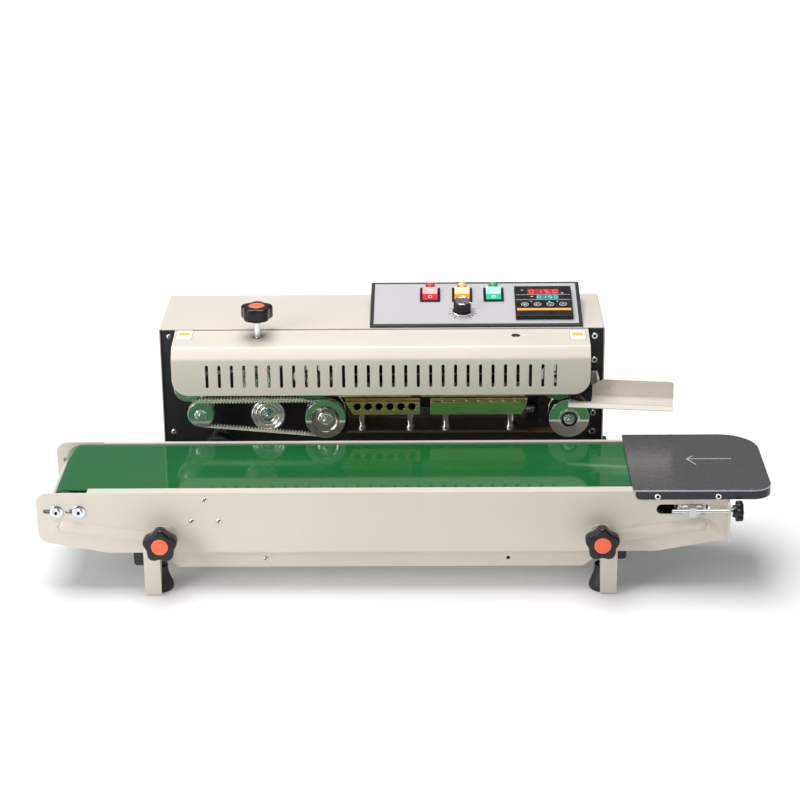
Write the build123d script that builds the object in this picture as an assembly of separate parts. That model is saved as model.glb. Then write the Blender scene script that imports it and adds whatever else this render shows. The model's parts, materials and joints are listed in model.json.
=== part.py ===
from build123d import *
import math
import os

os.makedirs("parts", exist_ok=True)

# Continuous band sealer. Millimetres. +X is the infeed end, -Y the operator's side, +Z up.
# The origin is on the table under the middle of the machine.

# Conveyor, which stands in front of the machine body
CONVEYOR_LEFT = -418.1
CONVEYOR_RIGHT = 370.0
FRONT_PLATE_Y = -164.0
BEAD_W = 12.0
BEAD_H = 2.2
REAR_PLATE_Y = -8.0
PLATE_TOP = 126.9
PLATE_BOTTOM = 52.7
PLATE_T = 2.0
BELT_TOP = 125.0
BELT_T = 1.5
REAR_BEARING_Y = -1.5
PAN_X = (-272.0, 218.0)
PAN_Y = (-150.0, -22.0)
PAN_Z = (28.0, 52.6)
PAN_SCREW_X = (-159.5, 120.0)
PAN_SCREW_Z = 38.4
BELT_Y = (-149.4, -13.6)
ROLLER_R = 19.0
ROLLER_Y = (-148.9, -14.1)
ROLLER_JOURNAL_Y = (FRONT_PLATE_Y + 2.4, REAR_BEARING_Y - 1.2)
HEAD_ROLLER = (-386.0, 104.5)
DRIVE_ROLLER = (-226.1, 100.2)
TAIL_ROLLER = (327.3, 104.5)
TAKE_UP_SLOT = (287.4, 347.6)
HEAD_BOLT_X = (-395.1, -369.5)
HEAD_SLOTS = ((-410.3, -390.5), (-385.0, -365.2))
HEIGHT_TRAVEL = 6.0
REAR_CLAMP_X = (-292.0, 238.0)
CLAMP_Z = 74.5
FEED_PLATE_X = (260.0, 418.1)
FEED_PLATE_Z = (127.2, 128.7)
FEED_SCREWS = ((288.0, 121.3), (356.5, 121.3))

# Machine body
BODY_X = (-298.0, 242.5)
BODY_Y = (66.5, 196.0)
BODY_Z = (50.1, 243.3)
SHEET_T = 1.5
BACK_SCREW_Z = (60.0, 230.0)
FAN_YZ = (135.0, 187.0)
FUSE_YZ = (120.0, 201.0)
MOUNT_Y = (70.0, 75.0)
ARM_Z = (30.0, 50.0)
ARM_X = ((-312.0, -273.5), (219.5, 257.0))

# Guard over the upper wheels
GUARD_X = (-278.0, 222.0)
GUARD_FACE_Y = 8.6
GUARD_BOTTOM = 178.5
GUARD_T = 1.2
GUARD_HOLE_XY = (134.0, 49.0)
SLOT_COUNT = 29
SLOT_PITCH = 14.85
SLOT_FIRST_X = -235.7
SLOT_Z = (188.3, 217.0)
SLOT_W = 3.6

# Seal head: lower and upper wheels carry the bands, which meet on the seal line
LOWER_Z = 142.5
UPPER_Z = 190.9
LOWER_LEFT = (-96.0, LOWER_Z)
UPPER_LEFT = (-111.0, UPPER_Z)
LOWER_RIGHT = (198.0, LOWER_Z)
UPPER_RIGHT = (184.0, UPPER_Z)
LOWER_GUIDE = (-246.4, 148.6)
UPPER_GUIDE = (-261.3, 181.8)
LOWER_PRESS = (-165.8, 144.2)
UPPER_PRESS = (-176.7, 189.2)
WHEEL_R = 23.4
SEAL_BAND_T = 0.6
PRESS_R = 22.1
GUIDE_R = 13.9
GUIDE_TRACK_R = 21.1
GUIDE_BELT_T = 2.9
WHEEL_Y = (22.0, 54.0)
GUIDE_BELT_Y = (24.6, 32.4)
SEAL_BAND_Y = (37.0, 51.0)
SHAFT_R = 6.0
RUN_GAP = 0.06
GEAR_TEETH = 36
GEAR_Y = (80.0, 88.0)
CHAIN_Y = (94.0, 99.0)

# Heating and cooling blocks
BLOCK_Y = (24.5, 55.0)
POST_X = (-52.3, 6.2, 49.7, 127.7)
POST_Y = 41.0
POST_R = 4.0
SHELF_TOP = 126.3
BLOCK_TRAVEL = 2.0

# Console on top of the body
CONSOLE_X = (-42.0, 216.0)
CONSOLE_Y = 67.0
CONSOLE_FRONT_Z = 246.0
CONSOLE_LENGTH = 105.0
CONSOLE_TILT = 12.0
ROCKER_X = (31.0, 70.5, 109.3)
ROCKER_S = 71.5
LAMP_S = 93.0
SPEED_KNOB_XS = (70.5, 32.0)
CONTROLLER_XS = (135.0, 204.8, 12.4, 83.6)
BUTTON_X = (146.8, 162.3, 177.8, 193.3)
BUTTON_S = 38.0
BUTTON_R = 5.0

# Pressure screw, star knobs and front legs
PRESSURE_XY = (-176.7, 48.3)
BRIDGE_Z = (230.5, 233.5)
STAR_KNOBS = {"left": (-275.2, CLAMP_Z), "right": (224.8, CLAMP_Z)}
STAR_R = 20.0
LEG_X = {"left": -288.7, "right": 234.6}
LEG_W = 18.8
FOOT_SPOTS = ((-284.0, -146.0), (229.9, -148.0), (-292.0, 176.0), (238.0, 176.0))


def box(x0, x1, y0, y1, z0, z1):
    centre = Pos((x0 + x1) / 2, (y0 + y1) / 2, (z0 + z1) / 2)
    return centre * Box(x1 - x0, y1 - y0, z1 - z0)


def rod_x(y, z, radius, x0, x1):
    return Pos((x0 + x1) / 2, y, z) * Rot(0, 90, 0) * Cylinder(radius, x1 - x0)


def rod_y(x, z, radius, y0, y1):
    return Pos(x, (y0 + y1) / 2, z) * Rot(90, 0, 0) * Cylinder(radius, y1 - y0)


def rod_z(x, y, radius, z0, z1):
    return Pos(x, y, (z0 + z1) / 2) * Cylinder(radius, z1 - z0)


def hex_y(x, z, across, y0, y1):
    prism = extrude(RegularPolygon(across / 2, 6, major_radius=False), y1 - y0)
    return Pos(x, y1, z) * Rot(90, 0, 0) * prism


def front_slab(points, y0, y1, radius=0):
    """A slab whose outline is drawn in X and Z, from y0 back to y1."""
    if radius:
        outline = FilletPolyline(*points, radius=radius, close=True)
    else:
        outline = Polyline(*points, close=True)
    face = Plane.XZ.offset(-y0) * make_face(outline)
    return extrude(face, -(y1 - y0))


def side_slab(points, x0, x1, radius=0):
    """A slab whose outline is drawn in Y and Z, from x0 right to x1."""
    if radius:
        outline = FilletPolyline(*points, radius=radius, close=True)
    else:
        outline = Polyline(*points, close=True)
    face = Plane.YZ.offset(x0) * make_face(outline)
    return extrude(face, x1 - x0)


def slot_y(x0, x1, z, width, y0, y1):
    """A level slot with round ends, cut along Y."""
    radius = width / 2
    bar = box(x0 + radius, x1 - radius, y0, y1, z - radius, z + radius)
    return bar + rod_y(x0 + radius, z, radius, y0, y1) + rod_y(x1 - radius, z, radius, y0, y1)


def upright_slot(x, z0, z1, width, y0, y1):
    """An upright slot with round ends, cut along Y."""
    radius = width / 2
    bar = box(x - radius, x + radius, y0, y1, z0 + radius, z1 - radius)
    return bar + rod_y(x, z0 + radius, radius, y0, y1) + rod_y(x, z1 - radius, radius, y0, y1)


def loop_outline(wheels):
    """The line of a belt around wheels (x, z, radius), listed anticlockwise as seen from the front."""
    count = len(wheels)
    leaving, arriving = [None] * count, [None] * count
    for i in range(count):
        x0, z0, r0 = wheels[i]
        x1, z1, r1 = wheels[(i + 1) % count]
        span = math.hypot(x1 - x0, z1 - z0)
        ux, uz = (x1 - x0) / span, (z1 - z0) / span
        lean = (r0 - r1) / span
        upright = math.sqrt(1 - lean * lean)
        nx, nz = upright * uz + lean * ux, -upright * ux + lean * uz
        leaving[i] = (x0 + r0 * nx, z0 + r0 * nz)
        arriving[(i + 1) % count] = (x1 + r1 * nx, z1 + r1 * nz)
    edges = []
    for i in range(count):
        x, z, r = wheels[i]
        start = math.atan2(arriving[i][1] - z, arriving[i][0] - x)
        end = math.atan2(leaving[i][1] - z, leaving[i][0] - x)
        if end < start:
            end += 2 * math.pi
        middle = (start + end) / 2
        top = (x + r * math.cos(middle), z + r * math.sin(middle))
        edges.append(ThreePointArc(arriving[i], top, leaving[i]))
        edges.append(Line(leaving[i], arriving[(i + 1) % count]))
    return edges


def belt(wheels, thickness, y0, y1):
    """A closed belt of even thickness that lies on the wheels."""
    outer = [(x, z, r + thickness) for x, z, r in wheels]
    ring = make_face(Wire(loop_outline(outer))) - make_face(Wire(loop_outline(wheels)))
    return extrude(Plane.XZ.offset(-y0) * ring, -(y1 - y0))


def lobed(radius, lobes, height, hollow=3.0):
    """A hand knob seen from its end: round, with a scoop between each two lobes."""
    body = extrude(Circle(radius), height)
    scoop_r = radius * 0.42
    for i in range(lobes):
        angle = 360 / lobes * (i + 0.5)
        scoop = Cylinder(scoop_r, height * 3)
        body -= Rot(0, 0, angle) * Pos(radius + scoop_r - hollow, 0, 0) * scoop
    return body


def spur_gear(x, z, teeth, module, y0, y1, phase):
    """An involute spur gear of 20 degree pressure angle, thinned a little for backlash."""
    pitch_r = module * teeth / 2
    base_r = pitch_r * math.cos(math.radians(20))
    tip_r, root_r = pitch_r + module * 0.9, pitch_r - module * 1.25
    half_tooth = math.pi / (2 * teeth) - 0.12 / pitch_r
    involute_at_pitch = math.tan(math.radians(20)) - math.radians(20)

    def flank_angle(radius):
        pressure = math.acos(base_r / radius)
        return half_tooth + involute_at_pitch - (math.tan(pressure) - pressure)

    radii = [base_r + (tip_r - base_r) * step / 4 for step in range(5)]
    points = []
    for tooth in range(teeth):
        centre = 2 * math.pi * tooth / teeth + phase
        flank = [(root_r, flank_angle(radii[0]))] + [(r, flank_angle(r)) for r in radii]
        rising = [(r, centre - a) for r, a in flank]
        falling = [(r, centre + a) for r, a in reversed(flank)]
        points += [(x + r * math.cos(a), z + r * math.sin(a)) for r, a in rising + falling]
    return front_slab(points, y0, y1)


tilt = math.radians(CONSOLE_TILT)
face_up = (0, -math.sin(tilt), math.cos(tilt))
console_face = Plane(origin=(0, CONSOLE_Y, CONSOLE_FRONT_Z), x_dir=(1, 0, 0), z_dir=face_up)


def on_console(shape):
    """Place a shape drawn flat as (x, distance up the slope, height) on the sloping console."""
    return console_face.location * shape


def save(node, shape):
    export_step(shape, f"parts/{node}.step")


# ---------------------------------------------------------------- conveyor

def side_plate_outline():
    left, right = CONVEYOR_LEFT, CONVEYOR_RIGHT
    points = [(left, PLATE_TOP), (left, 67.5), (-339.0, PLATE_BOTTOM), (288.5, PLATE_BOTTOM)]
    points += [(right, 67.5), (right, PLATE_TOP)]
    return points, [13.0, 14.0, 30.0, 30.0, 3.0, 2.0]


def bead(x0, z0, x1, z1, y):
    """A long pressed bead that stands out of the front plate, with sloping sides."""
    length = math.hypot(x1 - x0, z1 - z0)
    angle = math.degrees(math.atan2(z1 - z0, x1 - x0))
    bar = extrude(SlotCenterToCenter(length, BEAD_W), BEAD_H, taper=58)
    return Pos((x0 + x1) / 2, y, (z0 + z1) / 2) * Rot(90, 0, 0) * Rot(0, 0, angle) * bar


def conveyor_front_plate():
    y0, y1 = FRONT_PLATE_Y, FRONT_PLATE_Y + PLATE_T
    points, radii = side_plate_outline()
    plate = front_slab(points, y0, y1, radii)
    plate += box(-360.0, CONVEYOR_RIGHT - 2, y0 + 1, y0 + 14, PLATE_TOP - PLATE_T, PLATE_TOP)
    plate += box(-330.0, 280.0, y0 + 1, y0 + 14, PLATE_BOTTOM, PLATE_BOTTOM + PLATE_T)
    plate += box(CONVEYOR_RIGHT - 2, CONVEYOR_RIGHT, y0 - 11, y0 + 1, 68.0, 115.0)
    plate += bead(-392.0, 86.0, -300.0, 72.5, y0)
    plate += bead(254.0, 73.0, 344.0, 86.5, y0)
    for x, z in STAR_KNOBS.values():
        plate += rod_y(x, z, 9.0, y0 - 2.9, y0)
        plate -= rod_y(x, z, 4.1, y0 - 4, y1 + 1)
    for x0, x1 in HEAD_SLOTS:
        plate -= slot_y(x0, x1, HEAD_ROLLER[1], 5.4, y0 - 1, y1 + 1)
    plate -= rod_y(*DRIVE_ROLLER, 11.0, y1 - 0.9, y1 + 1)
    plate -= slot_y(*TAKE_UP_SLOT, TAIL_ROLLER[1], 12.0, y0 - 1, y1 + 1)
    plate -= rod_x(y0 - 6.0, TAIL_ROLLER[1], 2.6, CONVEYOR_RIGHT - 4, CONVEYOR_RIGHT + 1)
    return plate


def conveyor_rear_plate():
    y1, y0 = REAR_PLATE_Y, REAR_PLATE_Y - PLATE_T
    points, radii = side_plate_outline()
    plate = front_slab(points, y0, y1, radii)
    plate += box(-360.0, CONVEYOR_RIGHT - 2, y1 - 5, y1 - 1, PLATE_TOP - PLATE_T, PLATE_TOP)
    plate += box(-330.0, 280.0, y1 - 14, y1 - 1, PLATE_BOTTOM, PLATE_BOTTOM + PLATE_T)
    for x0, x1 in HEAD_SLOTS:
        plate -= slot_y(x0, x1, HEAD_ROLLER[1], 5.4, y0 - 1, y1 + 1)
    for centre in (DRIVE_ROLLER, HEAD_ROLLER):
        plate -= rod_y(*centre, 11.0, y0 - 1, y1 + 1)
    plate -= slot_y(*TAKE_UP_SLOT, TAIL_ROLLER[1], 12.0, y0 - 1, y1 + 1)
    for x in REAR_CLAMP_X:
        plate -= rod_y(x, CLAMP_Z, 3.1, y0 - 1, y1 + 1)
    return plate


def belt_bed():
    """The slide plate under the belt and the pan that closes the frame from below."""
    y0, y1 = FRONT_PLATE_Y + PLATE_T, REAR_PLATE_Y - PLATE_T
    top = BELT_TOP - BELT_T - 0.1
    bed = box(-355.0, 296.0, BELT_Y[0], BELT_Y[1], top - 1.5, top)
    bed += box(-355.0, 280.0, y0, y0 + 1.5, top - 14, top)
    bed += box(-355.0, 280.0, y1 - 1.5, y1, top - 14, top)
    bed += box(-355.0, 280.0, y0, BELT_Y[0], top - 1.5, top)
    bed += box(-355.0, 280.0, BELT_Y[1], y1, top - 1.5, top)
    x, z = DRIVE_ROLLER
    bed -= rod_y(x, z, 22.0, y0 - 1, BELT_Y[0] + 1) + rod_y(x, z, 22.0, BELT_Y[1] - 1, y1 + 1)
    left, right = PAN_X
    floor, top = PAN_Z
    pan = front_slab([(left, top), (left, floor + 9), (left + 11.5, floor), (right - 11.5, floor),
                      (right, floor + 9), (right, top)], *PAN_Y)
    pan -= front_slab([(left + 1.5, top + 8), (left + 1.5, floor + 9.6), (left + 12, floor + 1.5),
                       (right - 12, floor + 1.5), (right - 1.5, floor + 9.6), (right - 1.5, top + 8)],
                      PAN_Y[0] + 1.5, PAN_Y[1] - 1.5)
    for x in PAN_SCREW_X:
        pan -= rod_y(x, PAN_SCREW_Z, 2.1, PAN_Y[0] - 1, PAN_Y[1] + 1)
    return Compound([bed, pan])


def conveyor_belt():
    wheels = [(*HEAD_ROLLER, ROLLER_R), (*DRIVE_ROLLER, ROLLER_R), (*TAIL_ROLLER, ROLLER_R)]
    return belt(wheels, BELT_T, *BELT_Y)


def roller(centre):
    return rod_y(*centre, ROLLER_R - 0.1, *ROLLER_Y) + rod_y(*centre, 5.0, *ROLLER_JOURNAL_Y)


def flange_bolts():
    """Places of the three screws round the drive roller's bearing."""
    x, z = DRIVE_ROLLER
    turns = [math.radians(angle) for angle in (90, 210, 330)]
    return [(x + 17.6 * math.cos(turn), z + 17.6 * math.sin(turn)) for turn in turns]


def roller_bearings():
    """Bearing housings of the head and drive rollers: inside the front plate, outside the rear one."""
    housings = []
    for y0, y1 in ((FRONT_PLATE_Y + PLATE_T, FRONT_PLATE_Y + PLATE_T + 8), (REAR_PLATE_Y, REAR_BEARING_Y)):
        x, z = HEAD_ROLLER
        head = box(x - 26, x + 24, y0, y1, z - 11, z + 11) - rod_y(x, z, 5 + RUN_GAP, y0 - 1, y1 + 1)
        for bolt_x in HEAD_BOLT_X:
            head -= rod_y(bolt_x, z, 2.4, y0 - 1, y1 + 1)
        x, z = DRIVE_ROLLER
        drive = rod_y(x, z, 21.0, y0, y1) - rod_y(x, z, 8 + RUN_GAP, y0 - 1, y1 + 1)
        for bolt_x, bolt_z in flange_bolts():
            drive -= rod_y(bolt_x, bolt_z, 1.7, y0 - 1, y1 + 1)
        housings += [head, drive]
    return Compound(housings)


def pan_head(x, z, plate_y, outward, head_r, shank_r, length):
    """A screw through a plate face at plate_y whose head stands on the outward side."""
    face = plate_y + outward * 0.02
    head = rod_y(x, z, head_r, *sorted((face, face + outward * head_r * 0.6)))
    return head + rod_y(x, z, shank_r, *sorted((face, face - outward * length)))


def conveyor_screws():
    screws = []
    for plate_y, outward in ((FRONT_PLATE_Y, -1), (REAR_BEARING_Y, 1)):
        for x in HEAD_BOLT_X:
            z = HEAD_ROLLER[1]
            washer = rod_y(x, z, 7.5, *sorted((plate_y + outward * 0.02, plate_y + outward * 1.4)))
            head = hex_y(x, z, 8.0, *sorted((plate_y + outward * 1.4, plate_y + outward * 5.0)))
            screws.append(washer + head + rod_y(x, z, 2.3, *sorted((plate_y, plate_y - outward * 9.5))))
    for x, z in flange_bolts():
        screws.append(rod_y(x, z, 3.4, FRONT_PLATE_Y - 2.0, FRONT_PLATE_Y - 0.02))
    (left, right), z = PAN_SCREW_X, PAN_SCREW_Z
    screws.append(pan_head(left, z, PAN_Y[0], -1, 3.4, 2.0, 5.0))
    screws.append(pan_head(right, z, PAN_Y[1], 1, 3.4, 2.0, 5.0))
    for x, z in FEED_SCREWS:
        screws.append(rod_y(x, z, 3.6, FRONT_PLATE_Y - 4.2, FRONT_PLATE_Y - 1.62))
    for x in REAR_CLAMP_X:
        screws.append(pan_head(x, CLAMP_Z, REAR_PLATE_Y + 5.6, 1, 7.0, 3.0, 12.0))
    return Compound(screws)


def feed_plate():
    """Loading table over the tail roller: a flat sheet with a lip folded down in front."""
    z0, z1 = FEED_PLATE_Z
    y0, y1 = FRONT_PLATE_Y - 1.6, 3.0
    left, right = FEED_PLATE_X
    front_r, rear_r, lip_t = 22.0, 44.0, 1.5
    outline = FilletPolyline((left, y0), (right, y0), (right, y1), (left, y1),
                             radius=[0.5, front_r, rear_r, 2.0], close=True)
    sheet = Pos(0, 0, z0) * extrude(make_face(outline), z1 - z0)
    lip_z = z0 - 10.1
    lip = box(left + 3, right - front_r, y0, y0 + lip_t, lip_z, z0 + 0.2)
    notch = box(left, left + 9, y0 - 1, y0 + 3, lip_z - 5, lip_z + 6)
    lip -= notch - rod_y(left + 9, lip_z + 6, 6.0, y0 - 2, y0 + 4)
    for x, z in FEED_SCREWS:
        lip -= rod_y(x, z, 2.2, y0 - 1, y0 + 3)
    ring = extrude(Circle(front_r) - Circle(front_r - lip_t), z0 - lip_z + 0.2)
    corner = Pos(right - front_r, y0 + front_r, lip_z) * ring
    corner = corner & box(right - front_r, right + 1, y0 - 1, y0 + front_r, z0 - 12, z0 + 1)
    return sheet + lip + corner


def tail_blocks():
    """Bearing blocks of the tail roller, which slide in the plate slots to tighten the belt."""
    x, z = TAIL_ROLLER
    front = box(x - 16, x + 16, FRONT_PLATE_Y + 2.2, FRONT_PLATE_Y + 12, z - 12, z + 12)
    front += slot_y(x - 14, x + 14, z, 11.6, FRONT_PLATE_Y - 1.2, FRONT_PLATE_Y + 2.3)
    front += box(x - 4, x + 4, FRONT_PLATE_Y - 10.0, FRONT_PLATE_Y - 1.1, z - 5.0, z + 5.0)
    front -= rod_y(x, z, 5 + RUN_GAP, FRONT_PLATE_Y + 0.5, FRONT_PLATE_Y + 13)
    front -= rod_x(FRONT_PLATE_Y - 6.0, z, 2.5 + RUN_GAP, x - 30, x + 30)
    rear = box(x - 16, x + 16, REAR_PLATE_Y + 0.2, REAR_BEARING_Y, z - 12, z + 12)
    rear += box(x - 11, x + 11, REAR_PLATE_Y - 3.5, REAR_PLATE_Y + 0.3, z - 5.8, z + 5.8)
    rear -= rod_y(x, z, 5 + RUN_GAP, REAR_PLATE_Y - 4, REAR_BEARING_Y - 1.0)
    return Compound([front, rear])


def front_tension_screw():
    y, z = FRONT_PLATE_Y - 6.0, TAIL_ROLLER[1]
    screw = rod_x(y, z, 2.5, 304.0, 384.0)
    collar = rod_x(y, z, 4.5, CONVEYOR_RIGHT + 0.1, CONVEYOR_RIGHT + 2.5)
    hub = rod_x(y, z, 7.0, CONVEYOR_RIGHT + 2.5, CONVEYOR_RIGHT + 6.0)
    grip = Pos(CONVEYOR_RIGHT + 6.0, y, z) * Rot(0, 90, 0) * lobed(12.0, 7, 8.0, 1.8)
    return screw + collar + hub + grip


def star_knob(centre):
    """Clamp knob: lobed grip, hub, pressed cap and the stud that passes the leg and the plate."""
    x, z = centre
    face = FRONT_PLATE_Y - 34.6
    grip = Pos(x, face + 18.0, z) * Rot(90, 0, 0) * lobed(STAR_R, 7, 16.0, 3.6)
    grip = chamfer(grip.faces().sort_by(Axis.Y)[0].outer_wire().edges(), 1.6)
    hub = rod_y(x, z, 11.0, face + 18.0, FRONT_PLATE_Y - 5.4)
    stud = rod_y(x, z, 4.0, FRONT_PLATE_Y - 5.4, FRONT_PLATE_Y + 10.0)
    cap = rod_y(x, z, 10.2, face + 0.6, face + 2.0)
    return grip + hub + stud + cap


# ---------------------------------------------------------------- stand

def support_arms():
    arms = []
    for (x0, x1), front, clamp_x in zip(ARM_X, (-150.0, -137.0), REAR_CLAMP_X):
        arm = box(x0, x1, front, BODY_Y[1] - 2, *ARM_Z)
        arm = fillet(arm.edges().filter_by(Axis.Y).group_by(Axis.Z)[0], 4.0)
        arm -= box(x0 + 2, x1 - 2, front + 2, BODY_Y[1], ARM_Z[0] + 2, ARM_Z[1] - 2)
        arm += box(clamp_x - 12, clamp_x + 12, -4.6, -2.6, ARM_Z[1] - 0.5, 92.0)
        arm -= upright_slot(clamp_x, CLAMP_Z - 3.5, CLAMP_Z + HEIGHT_TRAVEL + 3.5, 6.6, -6, -1)
        arms.append(arm)
    return Compound(arms)


def front_leg(side):
    """A bent sheet leg: a narrow face in front of the conveyor, a side wing and a tab on the arm."""
    face_y = FRONT_PLATE_Y - 5.1
    sign = -1 if side == "left" else 1
    knob_x, knob_z = STAR_KNOBS[side]
    inner = LEG_X[side] - sign * LEG_W / 2
    outer = LEG_X[side] + sign * LEG_W / 2
    top_in, top_out = knob_x - sign * 12.0, knob_x + sign * 12.0
    top = knob_z + HEIGHT_TRAVEL + 7.0
    outline = [(outer, 2.0), (outer, 60.0), (top_out, 66.0), (top_out, top)]
    outline += [(top_in, top), (top_in, 60.0), (inner, 56.0), (inner, 2.0)]
    face = front_slab(outline, face_y, face_y + 2.0, [0.5, 4, 4, 8, 8, 4, 4, 0.5])
    face -= upright_slot(knob_x, knob_z - 4.3, knob_z + HEIGHT_TRAVEL + 4.3, 8.6, face_y - 1, face_y + 3)
    wing_points = [(face_y + 0.5, 2.0), (face_y + 0.5, 50.5), (-152.5, 50.5), (-152.5, 40.0)]
    wing_points += [(-159.5, 24.0), (-165.6, 2.0)]
    wing = side_slab(wing_points, *sorted((inner, inner + sign * 1.6)))
    tab = box(min(inner, outer), max(inner, outer), face_y + 1, -110.0, ARM_Z[1], ARM_Z[1] + 1.6)
    return face + wing + tab


def rubber_feet():
    feet = []
    profile = [(0, 0), (15.5, 0), (16.5, 2.5), (16.0, 7.0), (11.5, 19.0), (10.6, 24.0), (10.6, 29.98), (0, 29.98)]
    for x, y in FOOT_SPOTS:
        outline = make_face(Polyline(*profile, close=True))
        foot = revolve(Plane.XZ * outline, Axis.Z)
        feet.append(Pos(x, y, 0) * foot)
    return Compound(feet)


# ---------------------------------------------------------------- machine body

def housing_shell():
    """Beige cover folded from one sheet: the top and both sides."""
    x0, x1 = BODY_X
    outer = [(x0, BODY_Z[0]), (x0, BODY_Z[1]), (x1, BODY_Z[1]), (x1, BODY_Z[0])]
    t = SHEET_T
    inner = [(x0 + t, BODY_Z[0] - 5), (x0 + t, BODY_Z[1] - t), (x1 - t, BODY_Z[1] - t), (x1 - t, BODY_Z[0] - 5)]
    shell = front_slab(outer, *BODY_Y, [0, 2.5, 2.5, 0])
    shell -= front_slab(inner, BODY_Y[0] - 1, BODY_Y[1] + 1)
    shell -= box(-30.0, 204.0, 82.0, 160.0, 238.0, 250.0)
    shell -= rod_x(*FAN_YZ, 19.0, x0 - 1, x0 + 5)
    shell -= rod_x(*FUSE_YZ, 10.0, x1 - 5, x1 + 1)
    return shell


def rear_cover():
    """Back and bottom of the body, folded from one sheet, with vents and the inlet's opening."""
    x0, x1 = BODY_X[0] + 1.6, BODY_X[1] - 1.6
    z0, floor = BODY_Z[0], BODY_Z[0] + SHEET_T
    back = box(x0, x1, BODY_Y[1] - 1.5, BODY_Y[1], z0, BODY_Z[1] - 1.6)
    cover = back + box(x0, x1, MOUNT_Y[1] + 0.1, BODY_Y[1], z0, floor)
    for row_z in (150.0, 190.0):
        for i in range(16):
            cover -= upright_slot(-180.0 + 14.0 * i, row_z, row_z + 26.0, 4.0, BODY_Y[1] - 3, BODY_Y[1] + 1)
    cover -= box(163.0, 191.0, BODY_Y[1] - 3, BODY_Y[1] + 1, 80.0, 100.5)
    for x in (x0 + 10, 0.0, x1 - 10):
        for z in BACK_SCREW_Z:
            cover -= rod_y(x, z, 2.1, BODY_Y[1] - 3, BODY_Y[1] + 1)
    return cover


def mounting_plate():
    """Thick plate at the front of the body that carries the whole seal head."""
    x0, x1 = BODY_X[0] + 1.6, BODY_X[1] - 1.6
    plate = box(x0, x1, *MOUNT_Y, BODY_Z[0] + 0.1, BODY_Z[1] - 1.8)
    for centre in (LOWER_LEFT, UPPER_LEFT, LOWER_GUIDE, UPPER_GUIDE, LOWER_PRESS, DRIVE_ROLLER):
        plate -= rod_y(*centre, 10.0, MOUNT_Y[0] - 1, MOUNT_Y[1] + 1)
    plate -= slot_y(176.0, 216.0, LOWER_Z, 13.0, MOUNT_Y[0] - 1, MOUNT_Y[1] + 1)
    for x, z, radius in plate_bolts():
        plate -= rod_y(x, z, radius, MOUNT_Y[0] - 1, MOUNT_Y[1] + 1)
    x, y = PRESSURE_XY
    plate += box(x - 12, x + 12, y - 12, MOUNT_Y[0] + 0.5, *BRIDGE_Z)
    plate -= rod_z(x, y, 3.75 + RUN_GAP, BRIDGE_Z[0] - 1, BRIDGE_Z[1] + 1)
    return plate


def plate_bolts():
    """Places of the bolts that hold the mounting plate, with the radius of each hole."""
    left = [(-286.3, 232.7, 2.1), (-286.0, 108.5, 2.1)]
    right = [(230.3, 231.3, 2.6), (230.4, 200.4, 2.6), (229.9, 131.5, 2.6), (229.5, 107.1, 2.6)]
    return left + right


def housing_screws():
    screws = []
    for x, z, radius in plate_bolts():
        head = rod_y(x, z, radius + 1.4, MOUNT_Y[0] - 2.6, MOUNT_Y[0] - 0.02)
        screws.append(head + rod_y(x, z, radius - 0.1, MOUNT_Y[0] - 0.1, MOUNT_Y[1] + 4))
    x0, x1 = BODY_X[0] + 1.6, BODY_X[1] - 1.6
    for x in (x0 + 10, 0.0, x1 - 10):
        for z in BACK_SCREW_Z:
            screws.append(pan_head(x, z, BODY_Y[1], 1, 3.6, 2.0, 6.0))
    return Compound(screws)


def guard():
    """Vented beige cover in front of the upper wheels, open below and at both ends."""
    tab_y = MOUNT_Y[0] - 0.1
    t = GUARD_T
    profile = [(tab_y, 241.5), (18.5, 236.8), (GUARD_FACE_Y, 224.0), (GUARD_FACE_Y, GUARD_BOTTOM)]
    profile += [(GUARD_FACE_Y + t, GUARD_BOTTOM), (GUARD_FACE_Y + t, 223.6), (19.1, 235.6)]
    profile += [(tab_y - t, 240.2), (tab_y - t, 228.0), (tab_y, 228.0)]
    cover = side_slab(profile, *GUARD_X, [0.3, 5.0, 6.0, 0.3, 0.3, 4.8, 3.8, 0.3, 0.3, 0.3])
    face = (GUARD_FACE_Y - 1, GUARD_FACE_Y + t + 0.5)
    for i in range(SLOT_COUNT):
        cover -= upright_slot(SLOT_FIRST_X + SLOT_PITCH * i, *SLOT_Z, SLOT_W, *face)
    corner_r = 20.0
    for x, inward in ((GUARD_X[0], 1), (GUARD_X[1], -1)):
        x0, x1 = sorted((x - inward, x + inward * corner_r))
        square = box(x0, x1, *face, GUARD_BOTTOM - 1, GUARD_BOTTOM + corner_r)
        cover -= square - rod_y(x + inward * corner_r, GUARD_BOTTOM + corner_r, corner_r, *face)
    cover -= rod_z(*PRESSURE_XY, 6.0, 230, 245)
    cover -= rod_z(*GUARD_HOLE_XY, 5.4, 230, 245)
    x = PRESSURE_XY[0]
    cover -= box(x - 13, x + 13, tab_y - 2, tab_y + 1, 227, BRIDGE_Z[1] + 1)
    for x, z, radius in plate_bolts():
        if GUARD_X[0] < x < GUARD_X[1]:
            cover -= rod_y(x, z, radius + 2.2, tab_y - 3, tab_y + 1)
    return cover


# ---------------------------------------------------------------- console

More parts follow.
